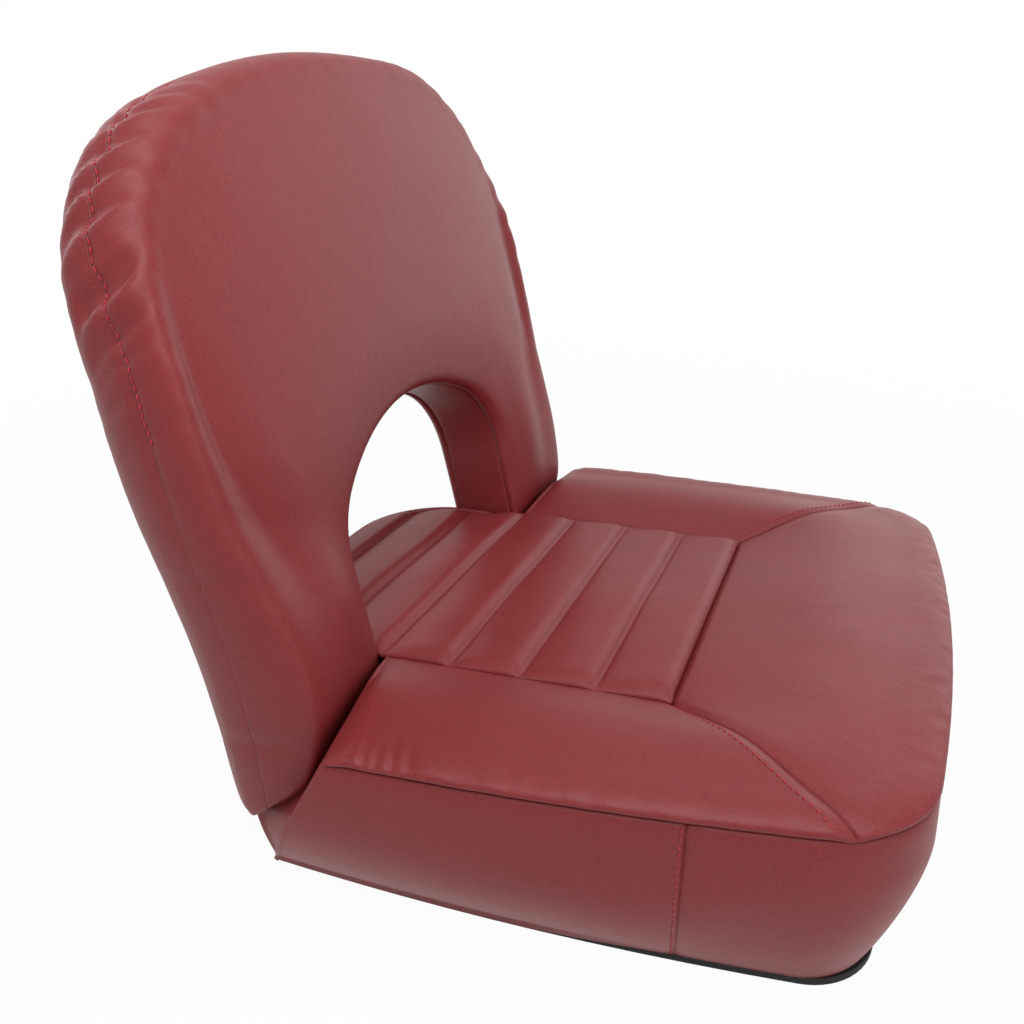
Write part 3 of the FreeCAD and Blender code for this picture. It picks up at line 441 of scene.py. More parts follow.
# small folds over the right side's seam, near its rear: place along the bolster and depth
SEAM_FOLDS = ((0.945, 0.0009), (0.915, 0.0014), (0.885, 0.0012), (0.852, 0.0014), (0.815, 0.0008))
FOLD_WIDTH = 0.0032
FOLD_PLACE = 0.84
FOLD_SPREAD = 0.13
# the seat's pieces end this far in front of its rear end
NOTCH_GAP = 0.0006


def side_bolster_point(side, u, v):
    """Point on a side bolster: u from the mitre to the rear, v from the pleats to the edge."""
    inner, outer = side_bolster_ends(side, u)
    groove = bell(u * MITRE_LENGTH, GROOVE_WIDTH)
    sunk = SUNK_SHARE * bell((1.0 - u) * SIDE_LENGTH, SUNK_WIDTH)
    point = bolster_point(inner, outer, v, groove, sunk)
    point.x *= side
    if side < 0.0:
        fold = sum(deep * bell((u - at) * SIDE_LENGTH, FOLD_WIDTH) for at, deep in SEAM_FOLDS)
        fold *= bell(v - FOLD_PLACE, FOLD_SPREAD)
        point += Vector((fold, 0.0, -fold))
    point.y = min(point.y, notch_y(point.z, point.x) - NOTCH_GAP)
    return settle_seat(point)


def bolster_top(share, span):
    """Height of a bolster's top over the seam plane at a share of the way out."""
    s = seat_sizes()
    out = share * span - span + s.roll
    if out <= 0.0:
        return bolster_section(ROLL_START * share * span / (span - s.roll), span)[1]
    turn = math.asin(min(out / (s.roll + ROLL_OVERHANG), 1.0))
    deep = s.edge / (1.0 - math.cos(ROLL_TURN))
    return s.edge - deep + deep * math.cos(turn)


# where a pleat is highest, as a share from its rear tuck, how round it is, and the last tuck's number
PLEAT_PEAK = 0.80
PLEAT_POWER = 0.75
LAST_TUCK = 6
# the last pleat rises over this share of a pitch, and this round
LAST_RISE = 0.12
LAST_POWER = 0.6
# depth and half width of the thread's groove in a tuck
TUCK_GROOVE = 0.0012
TUCK_WIDTH = 0.0022
# the panel narrows to the tongue over this length past the seat's end
PLEAT_NARROWING = 0.03
# distance from its edges over which the panel falls to the seams, and its heights there
PLEAT_EDGE = 0.006
PLEAT_EDGE_LIFT = 0.0005
TONGUE_EDGE = 0.01
TONGUE_EDGE_HEIGHT = -0.001
PLEAT_LUMPS = (0.05, 0.001)
PLEAT_LUMP_EDGE = 0.02


def pleat_point(u, v):
    """Point on the pleated panel: u from the front seam to the tongue's end, v from right to left."""
    s = seat_sizes()
    tucks = (s.tongue_end - s.pleat_front) / s.pleat_pitch
    at = u * tucks
    y = s.pleat_front + at * s.pleat_pitch
    half = pleat_edge(y)
    half = mix(half, s.tongue_half, ease((y - notch_y(seam_z(y), half)) / PLEAT_NARROWING))
    bend = s.tongue_end - s.tongue_corner
    if y > bend:
        half = s.tongue_half - s.tongue_corner + math.sqrt(max(s.tongue_corner ** 2 - (y - bend) ** 2, 0.0))
    x = half * (2.0 * v - 1.0)
    k = 1.0 - (at - math.floor(at))
    if at >= LAST_TUCK:
        shape = math.sin(math.pi * 0.5 * min((at - LAST_TUCK) / LAST_RISE, 1.0)) ** LAST_POWER
    elif k < PLEAT_PEAK:
        shape = max(math.sin(math.pi * 0.5 * k / PLEAT_PEAK), 0.0) ** PLEAT_POWER
    else:
        shape = max(math.cos(math.pi * 0.5 * (k - PLEAT_PEAK) / (1.0 - PLEAT_PEAK)), 0.0) ** PLEAT_POWER
    groove = TUCK_GROOVE * bell((at - round(at)) * s.pleat_pitch, TUCK_WIDTH)
    height = mix(-s.valley, s.crest, shape) - groove
    edge = half - abs(x)
    height = mix(height, -s.valley + PLEAT_EDGE_LIFT, bell(edge, PLEAT_EDGE))
    if y > bend:
        height = mix(height, TONGUE_EDGE_HEIGHT, bell(s.tongue_end - y, TONGUE_EDGE))
    point = Vector((x, y, seam_z(y) + height))
    point.z += ripple(point, *PLEAT_LUMPS) * min(edge / PLEAT_LUMP_EDGE, 1.0)
    return settle_seat(point)


# in front the boxing draws in from further up, by this factor, and more evenly
FRONT_DRAW = 1.36
SIDE_DRAW_POWER = 2.0
FRONT_DRAW_POWER = 1.4
# depth and height of the boxing's tuck under the top seam, and its bulge between seam and base
TOP_TUCK = 0.0012
TOP_TUCK_HEIGHT = 0.004
WALL_BULGE = 0.0028
BULGE_POWER = 0.8


def boxing_inset(z, top, front=0.0):
    """How far the boxing stands inside the outline at a height; in front (1) it slopes from further up."""
    s = seat_sizes()
    height = s.draw_height * mix(1.0, FRONT_DRAW, front)
    power = mix(SIDE_DRAW_POWER, FRONT_DRAW_POWER, front)
    drawn = s.draw_in * min(max(0.0, 1.0 - (z - s.base) / height) ** power, 1.0)
    tuck = TOP_TUCK * bell(top - z, TOP_TUCK_HEIGHT)
    share = min(max((z - s.base) / (top - s.base), 0.0), 1.0)
    return drawn + tuck - WALL_BULGE * math.sin(math.pi * share) ** BULGE_POWER


# lower edge of the boxing over the floor at the rear; where its fall to the rear starts and how long it is
REAR_BASE = 0.0012
BASE_FALL_START = -0.13
BASE_FALL = 0.12


def base_z(y):
    """Lower edge of the boxing: it lifts off the base cloth towards the front."""
    s = seat_sizes()
    return mix(s.base, REAR_BASE, ease((y - BASE_FALL_START) / BASE_FALL))


# gap under the top seam, depth and half width of the vertical seam, and the wall's lumps
TOP_GAP = 0.0006
WALL_SEAM = 0.0008
WALL_SEAM_WIDTH = 0.004
WALL_LUMPS = (0.06, 0.0012)
# the front wall's slope starts here and is complete this much further forward
FRONT_START = -0.08
FRONT_SLOPE = 0.10


def boxing_point(run, v):
    """Point on the seat's wall, run metres along the outline, v from the top seam to the base."""
    s = seat_sizes()
    flat, out = seat_outline(run)
    top = seam_z(flat.y) - TOP_GAP
    z = mix(top, base_z(flat.y), v)
    seam = bell(abs(run) - run_at(s.boxing_seam), WALL_SEAM_WIDTH)
    front = ease((FRONT_START - flat.y) / FRONT_SLOPE)
    flat = flat - out * (boxing_inset(z, top, front) + WALL_SEAM * seam)
    point = Vector((flat.x, flat.y, z))
    wave = ripple(point, *WALL_LUMPS) * math.sin(math.pi * v)
    return settle_seat(point + Vector((out.x, out.y, 0.0)) * wave)


# place along y that stands for the seat's rear end where a height is only needed roughly
REAR_END = 0.1


def side_boxing_point(side, u, v):
    """Point on a side wall: u from the vertical seam to the notch, v from the top seam to the base."""
    s = seat_sizes()
    z = mix(seam_z(REAR_END), base_z(REAR_END), v)
    point = boxing_point(side * mix(run_at(s.boxing_seam), run_at(notch_y(z, side * s.half)), u), v)
    point.y = min(point.y, notch_y(point.z, point.x) - NOTCH_GAP)
    return point


# place along y that stands for the tongue, how far its wall reaches in front of the seat's end, and its gap
# under the top seam; near the seat's end the gap is larger, because the pleats are wider there
TONGUE_PLACE = 0.2
TONGUE_LAP = 0.02
TONGUE_GAP = 0.001
TONGUE_FRONT_GAP = 0.008
TONGUE_FREE_START = 0.010
TONGUE_FREE_LENGTH = 0.025
# share of the boxing's draw-in that the tongue's wall has
TONGUE_DRAW = 0.4


def tongue_point(u, v):
    """Point on the tongue's wall: u from its right side round to its left, v from the top to the base."""
    s = seat_sizes()
    half = 2.0 * u - 1.0
    side = sign(half)
    bend = s.tongue_end - s.tongue_corner
    flat_half = s.tongue_half - s.tongue_corner
    z = mix(seam_z(TONGUE_PLACE) - TONGUE_GAP, base_z(TONGUE_PLACE), v)
    start = notch_y(z, side * s.tongue_half) - TONGUE_LAP
    runs = (flat_half, s.tongue_corner * math.pi / 2.0, bend - start)
    way = abs(half) * sum(runs)
    if way < runs[0]:
        x, y, out = way, s.tongue_end, (0.0, 1.0)
    elif way < runs[0] + runs[1]:
        turn = math.pi / 2.0 - (way - runs[0]) / s.tongue_corner
        out = (math.cos(turn), math.sin(turn))
        x, y = flat_half + s.tongue_corner * out[0], bend + s.tongue_corner * out[1]
    else:
        x, y, out = s.tongue_half, bend - (way - runs[0] - runs[1]), (1.0, 0.0)
    past = y - notch_y(seam_z(y), side * s.tongue_half)
    free = ease((past - TONGUE_FREE_START) / TONGUE_FREE_LENGTH)
    top = seam_z(y) - mix(TONGUE_FRONT_GAP, TONGUE_GAP, free)
    z = mix(top, base_z(y), v)
    inset = TONGUE_DRAW * boxing_inset(z, top)
    return settle_seat(Vector((side * (x - out[0] * inset), y - out[1] * inset, z)))


# the facing starts under the bolster, inside the tongue's wall, and a little in front of the seat's end
FACING_DROP = 0.004
FACING_LAP = 0.004
FACING_GAP = 0.0008


def facing_point(side, u, v):
    """Point on the seat's end behind a side: u from the tongue out, v from under the bolster to the base."""
    s = seat_sizes()
    inner, outer = side_bolster_ends(side, 1.0)
    span = (outer - inner).length
    high = seam_z(inner.y) + bolster_top(u, span) - FACING_DROP
    z = mix(high, base_z(REAR_END), v)
    outline, _ = seat_outline(run_at(notch_y(z, side * s.half)))
    top = seam_z(REAR_END)
    x = side * mix(s.tongue_half - FACING_LAP, outline.x - boxing_inset(min(z, top), top), u)
    return settle_seat(Vector((x, notch_y(z, x) - FACING_GAP, z)))


# share of half an arch that its straight leg takes
LOW_SHARE = 0.26


def arch_share(u):
    """Share of the way from a foot (0) to the arch's middle (1), u from the right foot to the left one."""
    return 1.0 - abs(2.0 * u - 1.0)


def arch_point(half, start, corner, apex, share):
    """Point (x, height) on half an arch, from the foot (share 0) round the corner to the middle (1)."""
    b = back_sizes()
    foot = -b.thick
    if share < LOW_SHARE:
        return half, mix(foot, b.low, share / LOW_SHARE)
    drop = apex - start
    top = (half * half + drop * drop - 2.0 * half * corner) / (2.0 * (drop - corner))
    lean = math.atan2(start - apex + top, half - corner)
    runs = (start - b.low, corner * lean, top * (math.pi / 2.0 - lean))
    way = (share - LOW_SHARE) / (1.0 - LOW_SHARE) * sum(runs)
    if way < runs[0]:
        return half, b.low + way
    if way < runs[0] + runs[1]:
        turn = (way - runs[0]) / corner
        return half - corner + corner * math.cos(turn), start + corner * math.sin(turn)
    turn = lean + (way - runs[0] - runs[1]) / top
    return top * math.cos(turn), apex - top + top * math.sin(turn)


# half height of the right side's bow, and the height over which the cant sets in
BOW_SPREAD = 0.11
CANT_RISE = 0.2


def outer_arch(u):
    """Outer edge of the back in its own plane, u from the right foot over the top to the left foot."""
    b = back_sizes()
    share = arch_share(u)
    if u >= 0.5:
        x, up = arch_point(b.left_half, b.left_shoulder, b.left_radius, b.top, share)
    else:
        x, up = arch_point(b.right_half, b.right_shoulder, b.right_radius, b.top, share)
        x = -x - b.bow * bell(up - b.bow_height, BOW_SPREAD)
    return Vector((x, up + b.cant * x * ease((up - b.low) / CANT_RISE)))


def inner_arch(u):
    """Edge of the opening in the back's own plane, u as for the outer edge."""
    b = back_sizes()
    side = sign(u - 0.5)
    corner = b.opening_radius if side > 0.0 else b.right_opening_radius
    x, up = arch_point(b.opening_half, b.opening_start, corner, b.opening_top, arch_share(u))
    return Vector((side * x, up))


def stand(x, up, deep):
    """A point of the back's own plane in the chair's frame: up the back from the hinge, deep to the rear."""
    b = back_sizes()
    return Vector((
        x,
        HINGE[1] + up * math.sin(b.lean) + deep * math.cos(b.lean),
        HINGE[2] + up * math.cos(b.lean) - deep * math.sin(b.lean),
    ))


# thickness of a leg at its end, as a share
FOOT_END = 0.25


def foot_share(up):
    """How thick the leg is at a height, as a share of its full thickness: its foot is round."""
    b = back_sizes()
    if up >= 0.0:
        return 1.0
    return mix(FOOT_END, 1.0, math.sqrt(max(1.0 - (up / b.thick) ** 2, 0.0)))


# how far the left shoulder's gathers stray from the right one's places, and how deep they are beside them
GATHER_STRAY = 0.014
LEFT_GATHERS = (0.03, 0.09)


def shoulder_gathers():
    """Gathers on each shoulder: hand, share of half the outline, depth (a ridge below 0) and width."""
    right = (
        (0.462, 0.0008, 0.010), (0.500, 0.0010, 0.008), (0.524, 0.0016, 0.005), (0.543, 0.0038, 0.009),
        (0.560, -0.0014, 0.008), (0.581, 0.0070, 0.012), (0.601, 0.0016, 0.004), (0.617, -0.0018, 0.005),
        (0.633, 0.0030, 0.007), (0.649, -0.0016, 0.004), (0.662, 0.0028, 0.006), (0.676, -0.0016, 0.004),
        (0.692, 0.0030, 0.008), (0.711, -0.0014, 0.006), (0.727, 0.0026, 0.007), (0.752, 0.0016, 0.006),
        (0.785, 0.0008, 0.010),
    )
    chance = random.Random(11)
    gathers = [(-1.0, at, deep, wide) for at, deep, wide in right]
    for at, deep, wide in right:
        place = at + chance.uniform(-GATHER_STRAY, GATHER_STRAY)
        gathers.append((1.0, place, deep * chance.uniform(*LEFT_GATHERS), wide))
    return gathers


GATHERS = shoulder_gathers()
GATHER_SLANT = 0.13
# the gathers are full up to here on the sheet, fade over these lengths, and act only this near their place
GATHER_FULL = 0.06
FRONT_FADE = 0.25
REAR_FADE = 0.11
GATHER_REACH = 0.1


def gather_depth(face, u, v):
    """How deep the gathers draw the cover in at a place near the edge seam, which they cross askew."""
    side = sign(u - 0.5)
    share = arch_share(u)
    fade = 1.0 - ease((v - GATHER_FULL) / (FRONT_FADE if face < 0.0 else REAR_FADE))
    return fade * sum(
        deep * bell(share + face * GATHER_SLANT * v - at, wide)
        for hand, at, deep, wide in GATHERS if hand == side and abs(share - at) < GATHER_REACH
    )


# the edge seam wanders by this much everywhere, and by this much more round this place, which is that wide
WANDER = 0.0008
SHOULDER_WANDER = 0.0045
WANDER_PLACE = 0.64
WANDER_SPREAD = 0.12
# waves of the wander along half the outline, and where in the noise each side is read
WANDER_WAVES = 48.0
RIGHT_NOISE = 3.7
LEFT_NOISE = 9.1
# the seam stands this far to the front along the sides, from this share on, and returns between these
SEAM_FORWARD = -0.015
SEAM_LEAVES = 0.3
SEAM_RETURNS = 0.50
SEAM_RETURN = 0.16


def seam_shift(u):
    """How far the edge seam stands from the thickness's middle: it wanders where the cover is gathered."""
    share = arch_share(u)
    wander = SHOULDER_WANDER * bell(share - WANDER_PLACE, WANDER_SPREAD) + WANDER
    rest = SEAM_FORWARD * ease(share / SEAM_LEAVES) * (1.0 - ease((share - SEAM_RETURNS) / SEAM_RETURN))
    row = RIGHT_NOISE if u < 0.5 else LEFT_NOISE
    return rest + noise.noise(Vector((share * WANDER_WAVES, row, 0.0))) * wander


# creases across the legs: height over the hinge, depth and half width
LEG_CREASES = ((0.155, 0.0009, 0.004), (0.045, 0.0012, 0.006))
# the covers' edges are superellipses with this power; on a sheet they end at the first share, and the
# rounding at the opening starts at the second
EDGE_POWER = 2.0 / 2.7
EDGE_SHARE = 0.34
FACE_SHARE = 0.84
# the front edge changes from the legs' width to the back's from this height on, over this length
EDGE_CHANGE = 0.10
EDGE_CHANGE_LENGTH = 0.18
PUFF_POWER = 0.8


def back_section(face, v, span, up):
    """Width in from the outer edge, depth from the middle, and how much the surface faces outwards there."""
    b = back_sizes()
    edge = b.rear_edge
    if face < 0.0:
        edge = mix(b.leg_edge, b.front_edge, ease((up - EDGE_CHANGE) / EDGE_CHANGE_LENGTH))
    if v < EDGE_SHARE:
        turn = math.pi / 2.0 * v / EDGE_SHARE
        side = max(math.cos(turn), 0.0) ** EDGE_POWER
        return edge * (1.0 - side), b.thick * math.sin(turn) ** EDGE_POWER, side
    if v < FACE_SHARE:
        k = (v - EDGE_SHARE) / (FACE_SHARE - EDGE_SHARE)
        bulge = b.puff * max(math.sin(math.pi * k), 0.0) ** PUFF_POWER
        return mix(edge, span - b.inner_edge, k), b.thick + bulge, 0.0
    turn = math.pi / 2.0 * (1.0 - v) / (1.0 - FACE_SHARE)
    side = max(math.cos(turn), 0.0) ** EDGE_POWER
    deep = mix(b.band_half, b.thick, max(math.sin(turn), 0.0) ** EDGE_POWER)
    return span - b.inner_edge * (1.0 - side), deep, 0.0


# depth and half width of the draw-in along the edge seam, and the height over which it sets in
SEAM_DRAW = 0.0010
SEAM_DRAW_WIDTH = 0.012
SEAM_DRAW_START = 0.14
SEAM_DRAW_RISE = 0.1
# below this height over the hinge a leg's front is drawn up to the seat, which spreads its edge by this much
HOLD_HEIGHT = 0.20
LEFT_SPREAD = 0.10
RIGHT_SPREAD = 0.75
# shares of a cover's sheet: the hold grows up to the first and fades from the second on, over the third
HOLD_RISE = 0.26
HOLD_FULL = 0.6
HOLD_FADE = 0.35
# the same for the spread and the creases: full up to here, and faded over this much
SPREAD_FULL = 0.2
SPREAD_FADE = 0.3
CREASE_FULL = 0.25
CREASE_FADE = 0.4
# how much of the draw-in shows on a face, and how much narrower a leg's foot is
FACE_DRAW = 0.7
FOOT_NARROWING = 0.02
# the back thins out from this height on, over this length
TAPER_START = 0.15
TAPER_LENGTH = 0.3
# size and height of the back's lumps, and the share of the sheet at which they end
BACK_LUMPS = (0.08, 0.0013)
LUMPS_END = 0.9


def back_point(face, u, v):
    """Point on the back's cover: face -1 front or 1 rear, u round the arch, v from edge seam to opening."""
    outer = outer_arch(u)
    inner = inner_arch(u)
    span = (inner - outer).length
    inward = (inner - outer) / span
    width, deep, lift = back_section(face, v, span, outer.y)
    seam_rise = ease((outer.y - SEAM_DRAW_START) / SEAM_DRAW_RISE)
    drawn = gather_depth(face, u, v) + SEAM_DRAW * bell(v, SEAM_DRAW_WIDTH) * seam_rise
    creases = sum(cut * bell(outer.y - at, wide) for at, cut, wide in LEG_CREASES)
    drawn += creases * (1.0 - ease((v - CREASE_FULL) / CREASE_FADE))
    hold = 0.0
    if face < 0.0:
        hold = (1.0 - ease(outer.y / HOLD_HEIGHT)) * ease(v / HOLD_RISE)
        hold *= 1.0 - ease((v - HOLD_FULL) / HOLD_FADE)
    spread = LEFT_SPREAD if outer.x > 0.0 else RIGHT_SPREAD
    edge_hold = hold * (1.0 - ease((v - SPREAD_FULL) / SPREAD_FADE))
    width = (width + drawn * lift) * (1.0 - spread * edge_hold)
    deep -= drawn * (1.0 - lift) * FACE_DRAW
    flat = outer + inward * width
    thick = foot_share(flat.y)
    deep *= thick * (1.0 - back_sizes().taper * ease((flat.y - TAPER_START) / TAPER_LENGTH))
    rough = stand(flat.x, flat.y, face * deep)
    deep += ripple(rough, *BACK_LUMPS) * math.sin(math.pi * min(v / LUMPS_END, 1.0)) * thick
    deep = face * deep + seam_shift(u) * lift
    return settle_leg(flat.x * (1.0 - FOOT_NARROWING * (1.0 - thick)), flat.y, deep, hold)


# height of a leg's end outside at the middle of its thickness, its fall to the rear, and how round the cut is
CUT_HEIGHT = -0.003
CUT_FALL = 0.6
CUT_ROUND = 0.014
# a leg counts as outside from here on, over this width
OUTSIDE = 0.200
OUTSIDE_WIDTH = 0.03
# gap between the legs and the seat's end
LEG_GAP = 0.0026


def foot_cut(deep):
    """Height of the leg's end outside, which is cut askew: lower at its rear."""
    return CUT_HEIGHT - CUT_FALL * deep


def settle_leg(x, up, deep, hold):
    """Sets a cover point down: outside, the leg's end is cut askew; hold draws its front up to the seat."""
    outside = ease((abs(x) - OUTSIDE) / OUTSIDE_WIDTH)
    cut = foot_cut(deep)
    up = mix(up, 0.5 * (up + cut + math.hypot(up - cut, CUT_ROUND)), outside)
    point = stand(x, up, deep)
    if abs(x) > seat_sizes().tongue_half:
        end = notch_y(point.z, x) + LEG_GAP
        near = notch_y(min(point.z, seat_sizes().seam_height), x) + LEG_GAP
        point.y = max(mix(point.y, min(point.y, near), hold), end)
    return point


# a gusset's heights on the seat's end, low and high, and how far it stands inside the wall and the end there
GUSSET_HEIGHTS = (0.002, 0.075)
GUSSET_INSET = 0.0015
GUSSET_LAP = 0.002
# low and high on the leg: distance in from its outside, depth from the middle, and height over its cut end
GUSSET_IN = (0.012, 0.036)
GUSSET_DEPTH = (0.022, -0.022)
GUSSET_OVER = (0.010, 0.032)
# how a gusset hangs at its lower edge, and how far it is drawn in at its upper edge
GUSSET_SAG = Vector((-0.002, 0.004, -0.003))
GUSSET_DRAW = 0.030


def gusset_point(side, u, v):
    """Point on the gusset under a leg: u from the floor up, v from the seat's end to the leg's end."""
    s = seat_sizes()
    b = back_sizes()
    z = mix(*GUSSET_HEIGHTS, u)
    end = notch_y(z, side * s.half)
    flat, _ = seat_outline(run_at(end))
    seat = Vector((flat.x - boxing_inset(z, seam_z(REAR_END)) - GUSSET_INSET, end - GUSSET_LAP, z))
    half = (b.left_half if side > 0.0 else b.right_half) - mix(*GUSSET_IN, u)
    deep = mix(*GUSSET_DEPTH, u)
    leg = stand(half, foot_cut(deep) + mix(*GUSSET_OVER, u), deep)
    point = seat.lerp(leg, v)
    point += GUSSET_SAG * math.sin(math.pi * v) * (1.0 - u)
    point.x -= GUSSET_DRAW * u * u
    point.x *= side
    return point


# depth of the hollow along the band's seams, and its width as a share of half the band
BAND_HOLLOW = 0.0015
HOLLOW_WIDTH = 0.12


def band_point(u, v):
    """Point on the band in the opening: u round the arch, v from the front edge to the rear edge."""
    b = back_sizes()
    flat = inner_arch(u)
    deep = b.band_half * (2.0 * v - 1.0) * foot_share(flat.y)
    hollow = BAND_HOLLOW * bell(abs(2.0 * v - 1.0) - 1.0, HOLLOW_WIDTH)
    return settle_leg(flat.x * (1.0 + hollow), flat.y + hollow, deep, 0.0)


def add_node(tree, kind, inputs=None, **settings):
    """Adds a shader node: settings are its properties, inputs its values or the sockets that feed it."""
    made = tree.nodes.new(kind)
    for key, value in settings.items():
        setattr(made, key, value)
    for key, value in (inputs or {}).items():
        if isinstance(value, bpy.types.NodeSocket):
            tree.links.new(value, made.inputs[key])
        else:
            made.inputs[key].default_value = value
    return made


def opaque(rgb):
    return (rgb[0], rgb[1], rgb[2], 1.0)


def blank_material(name):
    """A new material with an empty tree; returns it, its tree and its object coordinates."""
    made = bpy.data.materials.new(name)
    made.use_nodes = True
    tree = made.node_tree
    tree.nodes.clear()
    return made, tree, add_node(tree, "ShaderNodeTexCoord").outputs["Object"]


def coated_vinyl():
    """PVC-coated cloth, embossed with a leather grain: broad soft highlights, dark pores, slight mottling."""
    if "burgundy_vinyl" in bpy.data.materials:
        return bpy.data.materials["burgundy_vinyl"]
    f = finish()
    made, tree, place = blank_material("burgundy_vinyl")
    # mottling of the coat about 60 mm across
    mottle = add_node(tree, "ShaderNodeTexNoise", {"Vector": place, "Scale": 1 / 0.06, "Detail": 4.0})
    tone = add_node(tree, "ShaderNodeMix", {
        "Factor": mottle.outputs["Fac"], "A": opaque(f.vinyl_dark), "B": opaque(f.vinyl_light)},
        data_type="RGBA")
    # embossed grain of 0.9 mm, drawn at 1.7 mm so that it shows
    grain = add_node(tree, "ShaderNodeTexVoronoi", {"Vector": place, "Scale": 1 / 0.0017},
                     feature="DISTANCE_TO_EDGE")
    pore = add_node(tree, "ShaderNodeMapRange", {
        "Value": grain.outputs["Distance"], "From Min": 0.0, "From Max": 0.16, "To Min": 0.5, "To Max": 0.0})
    skin = add_node(tree, "ShaderNodeMix", {
        "Factor": pore.outputs["Result"], "A": tone.outputs["Result"], "B": opaque(f.vinyl_pore)},
        data_type="RGBA")
    # small creases of the stretched skin, about 9 mm across
    crease = add_node(tree, "ShaderNodeTexNoise", {"Vector": place, "Scale": 1 / 0.009, "Detail": 3.0})
    coarse = add_node(tree, "ShaderNodeBump", {
        "Height": crease.outputs["Fac"], "Distance": 0.0006, "Strength": 0.35})
    fine = add_node(tree, "ShaderNodeBump", {
        "Height": grain.outputs["Distance"], "Distance": 0.0004, "Strength": 0.30,
        "Normal": coarse.outputs["Normal"]})
    gloss = add_node(tree, "ShaderNodeMapRange", {
        "Value": mottle.outputs["Fac"], "To Min": 0.40, "To Max": 0.50})
    shader = add_node(tree, "ShaderNodeBsdfPrincipled", {
        "Base Color": skin.outputs["Result"], "Roughness": gloss.outputs["Result"], "IOR": 1.53,
        "Specular IOR Level": 0.28, "Normal": fine.outputs["Normal"]})
    add_node(tree, "ShaderNodeOutputMaterial", {"Surface": shader.outputs["BSDF"]})
    return made


# how far a plain finish's roughness varies each way
ROUGH_VARIES = 0.08


def plain_finish(name, rgb, rough, metal, spot, dark, bump):
    """A finish mottled about spot metres across: its colour goes down to dark times rgb, its roughness
    varies, and its surface is bumped a little."""
    if name in bpy.data.materials:
        return bpy.data.materials[name]
    made, tree, place = blank_material(name)
    mottle = add_node(tree, "ShaderNodeTexNoise", {"Vector": place, "Scale": 1 / spot, "Detail": 4.0})
    shade = add_node(tree, "ShaderNodeMix", {
        "Factor": mottle.outputs["Fac"], "A": opaque(rgb), "B": opaque([part * dark for part in rgb])},
        data_type="RGBA")
    rough_map = add_node(tree, "ShaderNodeMapRange", {
        "Value": mottle.outputs["Fac"], "To Min": rough - ROUGH_VARIES, "To Max": rough + ROUGH_VARIES})
    lump = add_node(tree, "ShaderNodeBump", {
        "Height": mottle.outputs["Fac"], "Distance": bump, "Strength": 0.5})
    shader = add_node(tree, "ShaderNodeBsdfPrincipled", {
        "Base Color": shade.outputs["Result"], "Roughness": rough_map.outputs["Result"], "Metallic": metal,
        "Normal": lump.outputs["Normal"]})
    add_node(tree, "ShaderNodeOutputMaterial", {"Surface": shader.outputs["BSDF"]})
    return made


# thickness of the vinyl with its backing
BOLSTER_WALL = 0.004
COVER_WALL = 0.003
LINING_WALL = 0.0025
GUSSET_WALL = 0.002


def pad_piece(name, bm, thickness, node, still=()):
    """Finishes a padded vinyl piece that rides on the seat and stands for a CAD node; it swells if still
    names the points that don't."""
    made = piece(name, bm, coated_vinyl())
    if still:
        swell(made, still, lambda point: SWELL_CAP)
    add_wall(made, thickness)
    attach(made, "seat")
    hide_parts(node)
    return made


# share of a bolster's sheet past which it is held by its rolled edge
ROLL_HELD = 0.62


def on_roll(u, v, point):
    """Whether a point of a bolster is on its rolled edge."""
    return v > ROLL_HELD


class SeatBolsters(bpy.types.Operator):
    """Make the seat's front bolster and two side bolsters"""
    bl_idname = "chair.seat_bolsters"
    bl_label = "Seat bolsters"

    def execute(self, context):
        inside = Vector((0.0, -0.05, 0.03))
        bm = bmesh.new()
        grid = patch(bm, 120, 44, front_bolster_point, inside)
        still = sewn_points(bm, grid, on_roll)
        pad_piece("seat_front_bolster", bm, BOLSTER_WALL, "seat_front_panel", still)
        for side, hand in SIDES:
            bm = bmesh.new()
            grid = patch(bm, 110, 44, lambda u, v: side_bolster_point(side, u, v), inside)
            still = sewn_points(bm, grid, on_roll)
            pad_piece("seat_side_bolster_" + hand, bm, BOLSTER_WALL, "seat_side_panel_" + hand, still)
        return {"FINISHED"}


class SeatPleats(bpy.types.Operator):
    """Make the seat's pleated middle panel"""
    bl_idname = "chair.seat_pleats"
    bl_label = "Seat pleats"

    def execute(self, context):
        bm = bmesh.new()
        patch(bm, 224, 72, pleat_point, Vector((0.0, 0.05, 0.03)))
        pad_piece("seat_pleats", bm, COVER_WALL, "seat_center_panel")
        return {"FINISHED"}


class SeatBoxing(bpy.types.Operator):
    """Make the wall round the seat: front, sides, and the rear with the ends behind the sides"""
    bl_idname = "chair.seat_boxing"
    bl_label = "Seat boxing"

    def execute(self, context):
        s = seat_sizes()
        inside = Vector((0.0, 0.0, 0.05))
        bm = bmesh.new()
        run = run_at(s.boxing_seam)
        patch(bm, 180, 28, lambda u, v: boxing_point(mix(-run, run, u), v), inside)
        pad_piece("seat_boxing_front_wall", bm, COVER_WALL, "seat_boxing_front")
        for side, hand in SIDES:
            bm = bmesh.new()
            patch(bm, 64, 28, lambda u, v: side_boxing_point(side, u, v), inside)
            pad_piece("seat_boxing_wall_" + hand, bm, COVER_WALL, "seat_boxing_" + hand)
        bm = bmesh.new()
        patch(bm, 140, 24, tongue_point, inside)
        for side in (1.0, -1.0):
            patch(bm, 36, 24, lambda u, v: facing_point(side, u, v), Vector((side * 0.19, 0.0, 0.05)))
        pad_piece("seat_boxing_rear_wall", bm, COVER_WALL, "seat_boxing_rear")
        return {"FINISHED"}


# the back's foam is cut across between these heights over the hinge
BEND_START = -0.030
BEND_END = 0.095


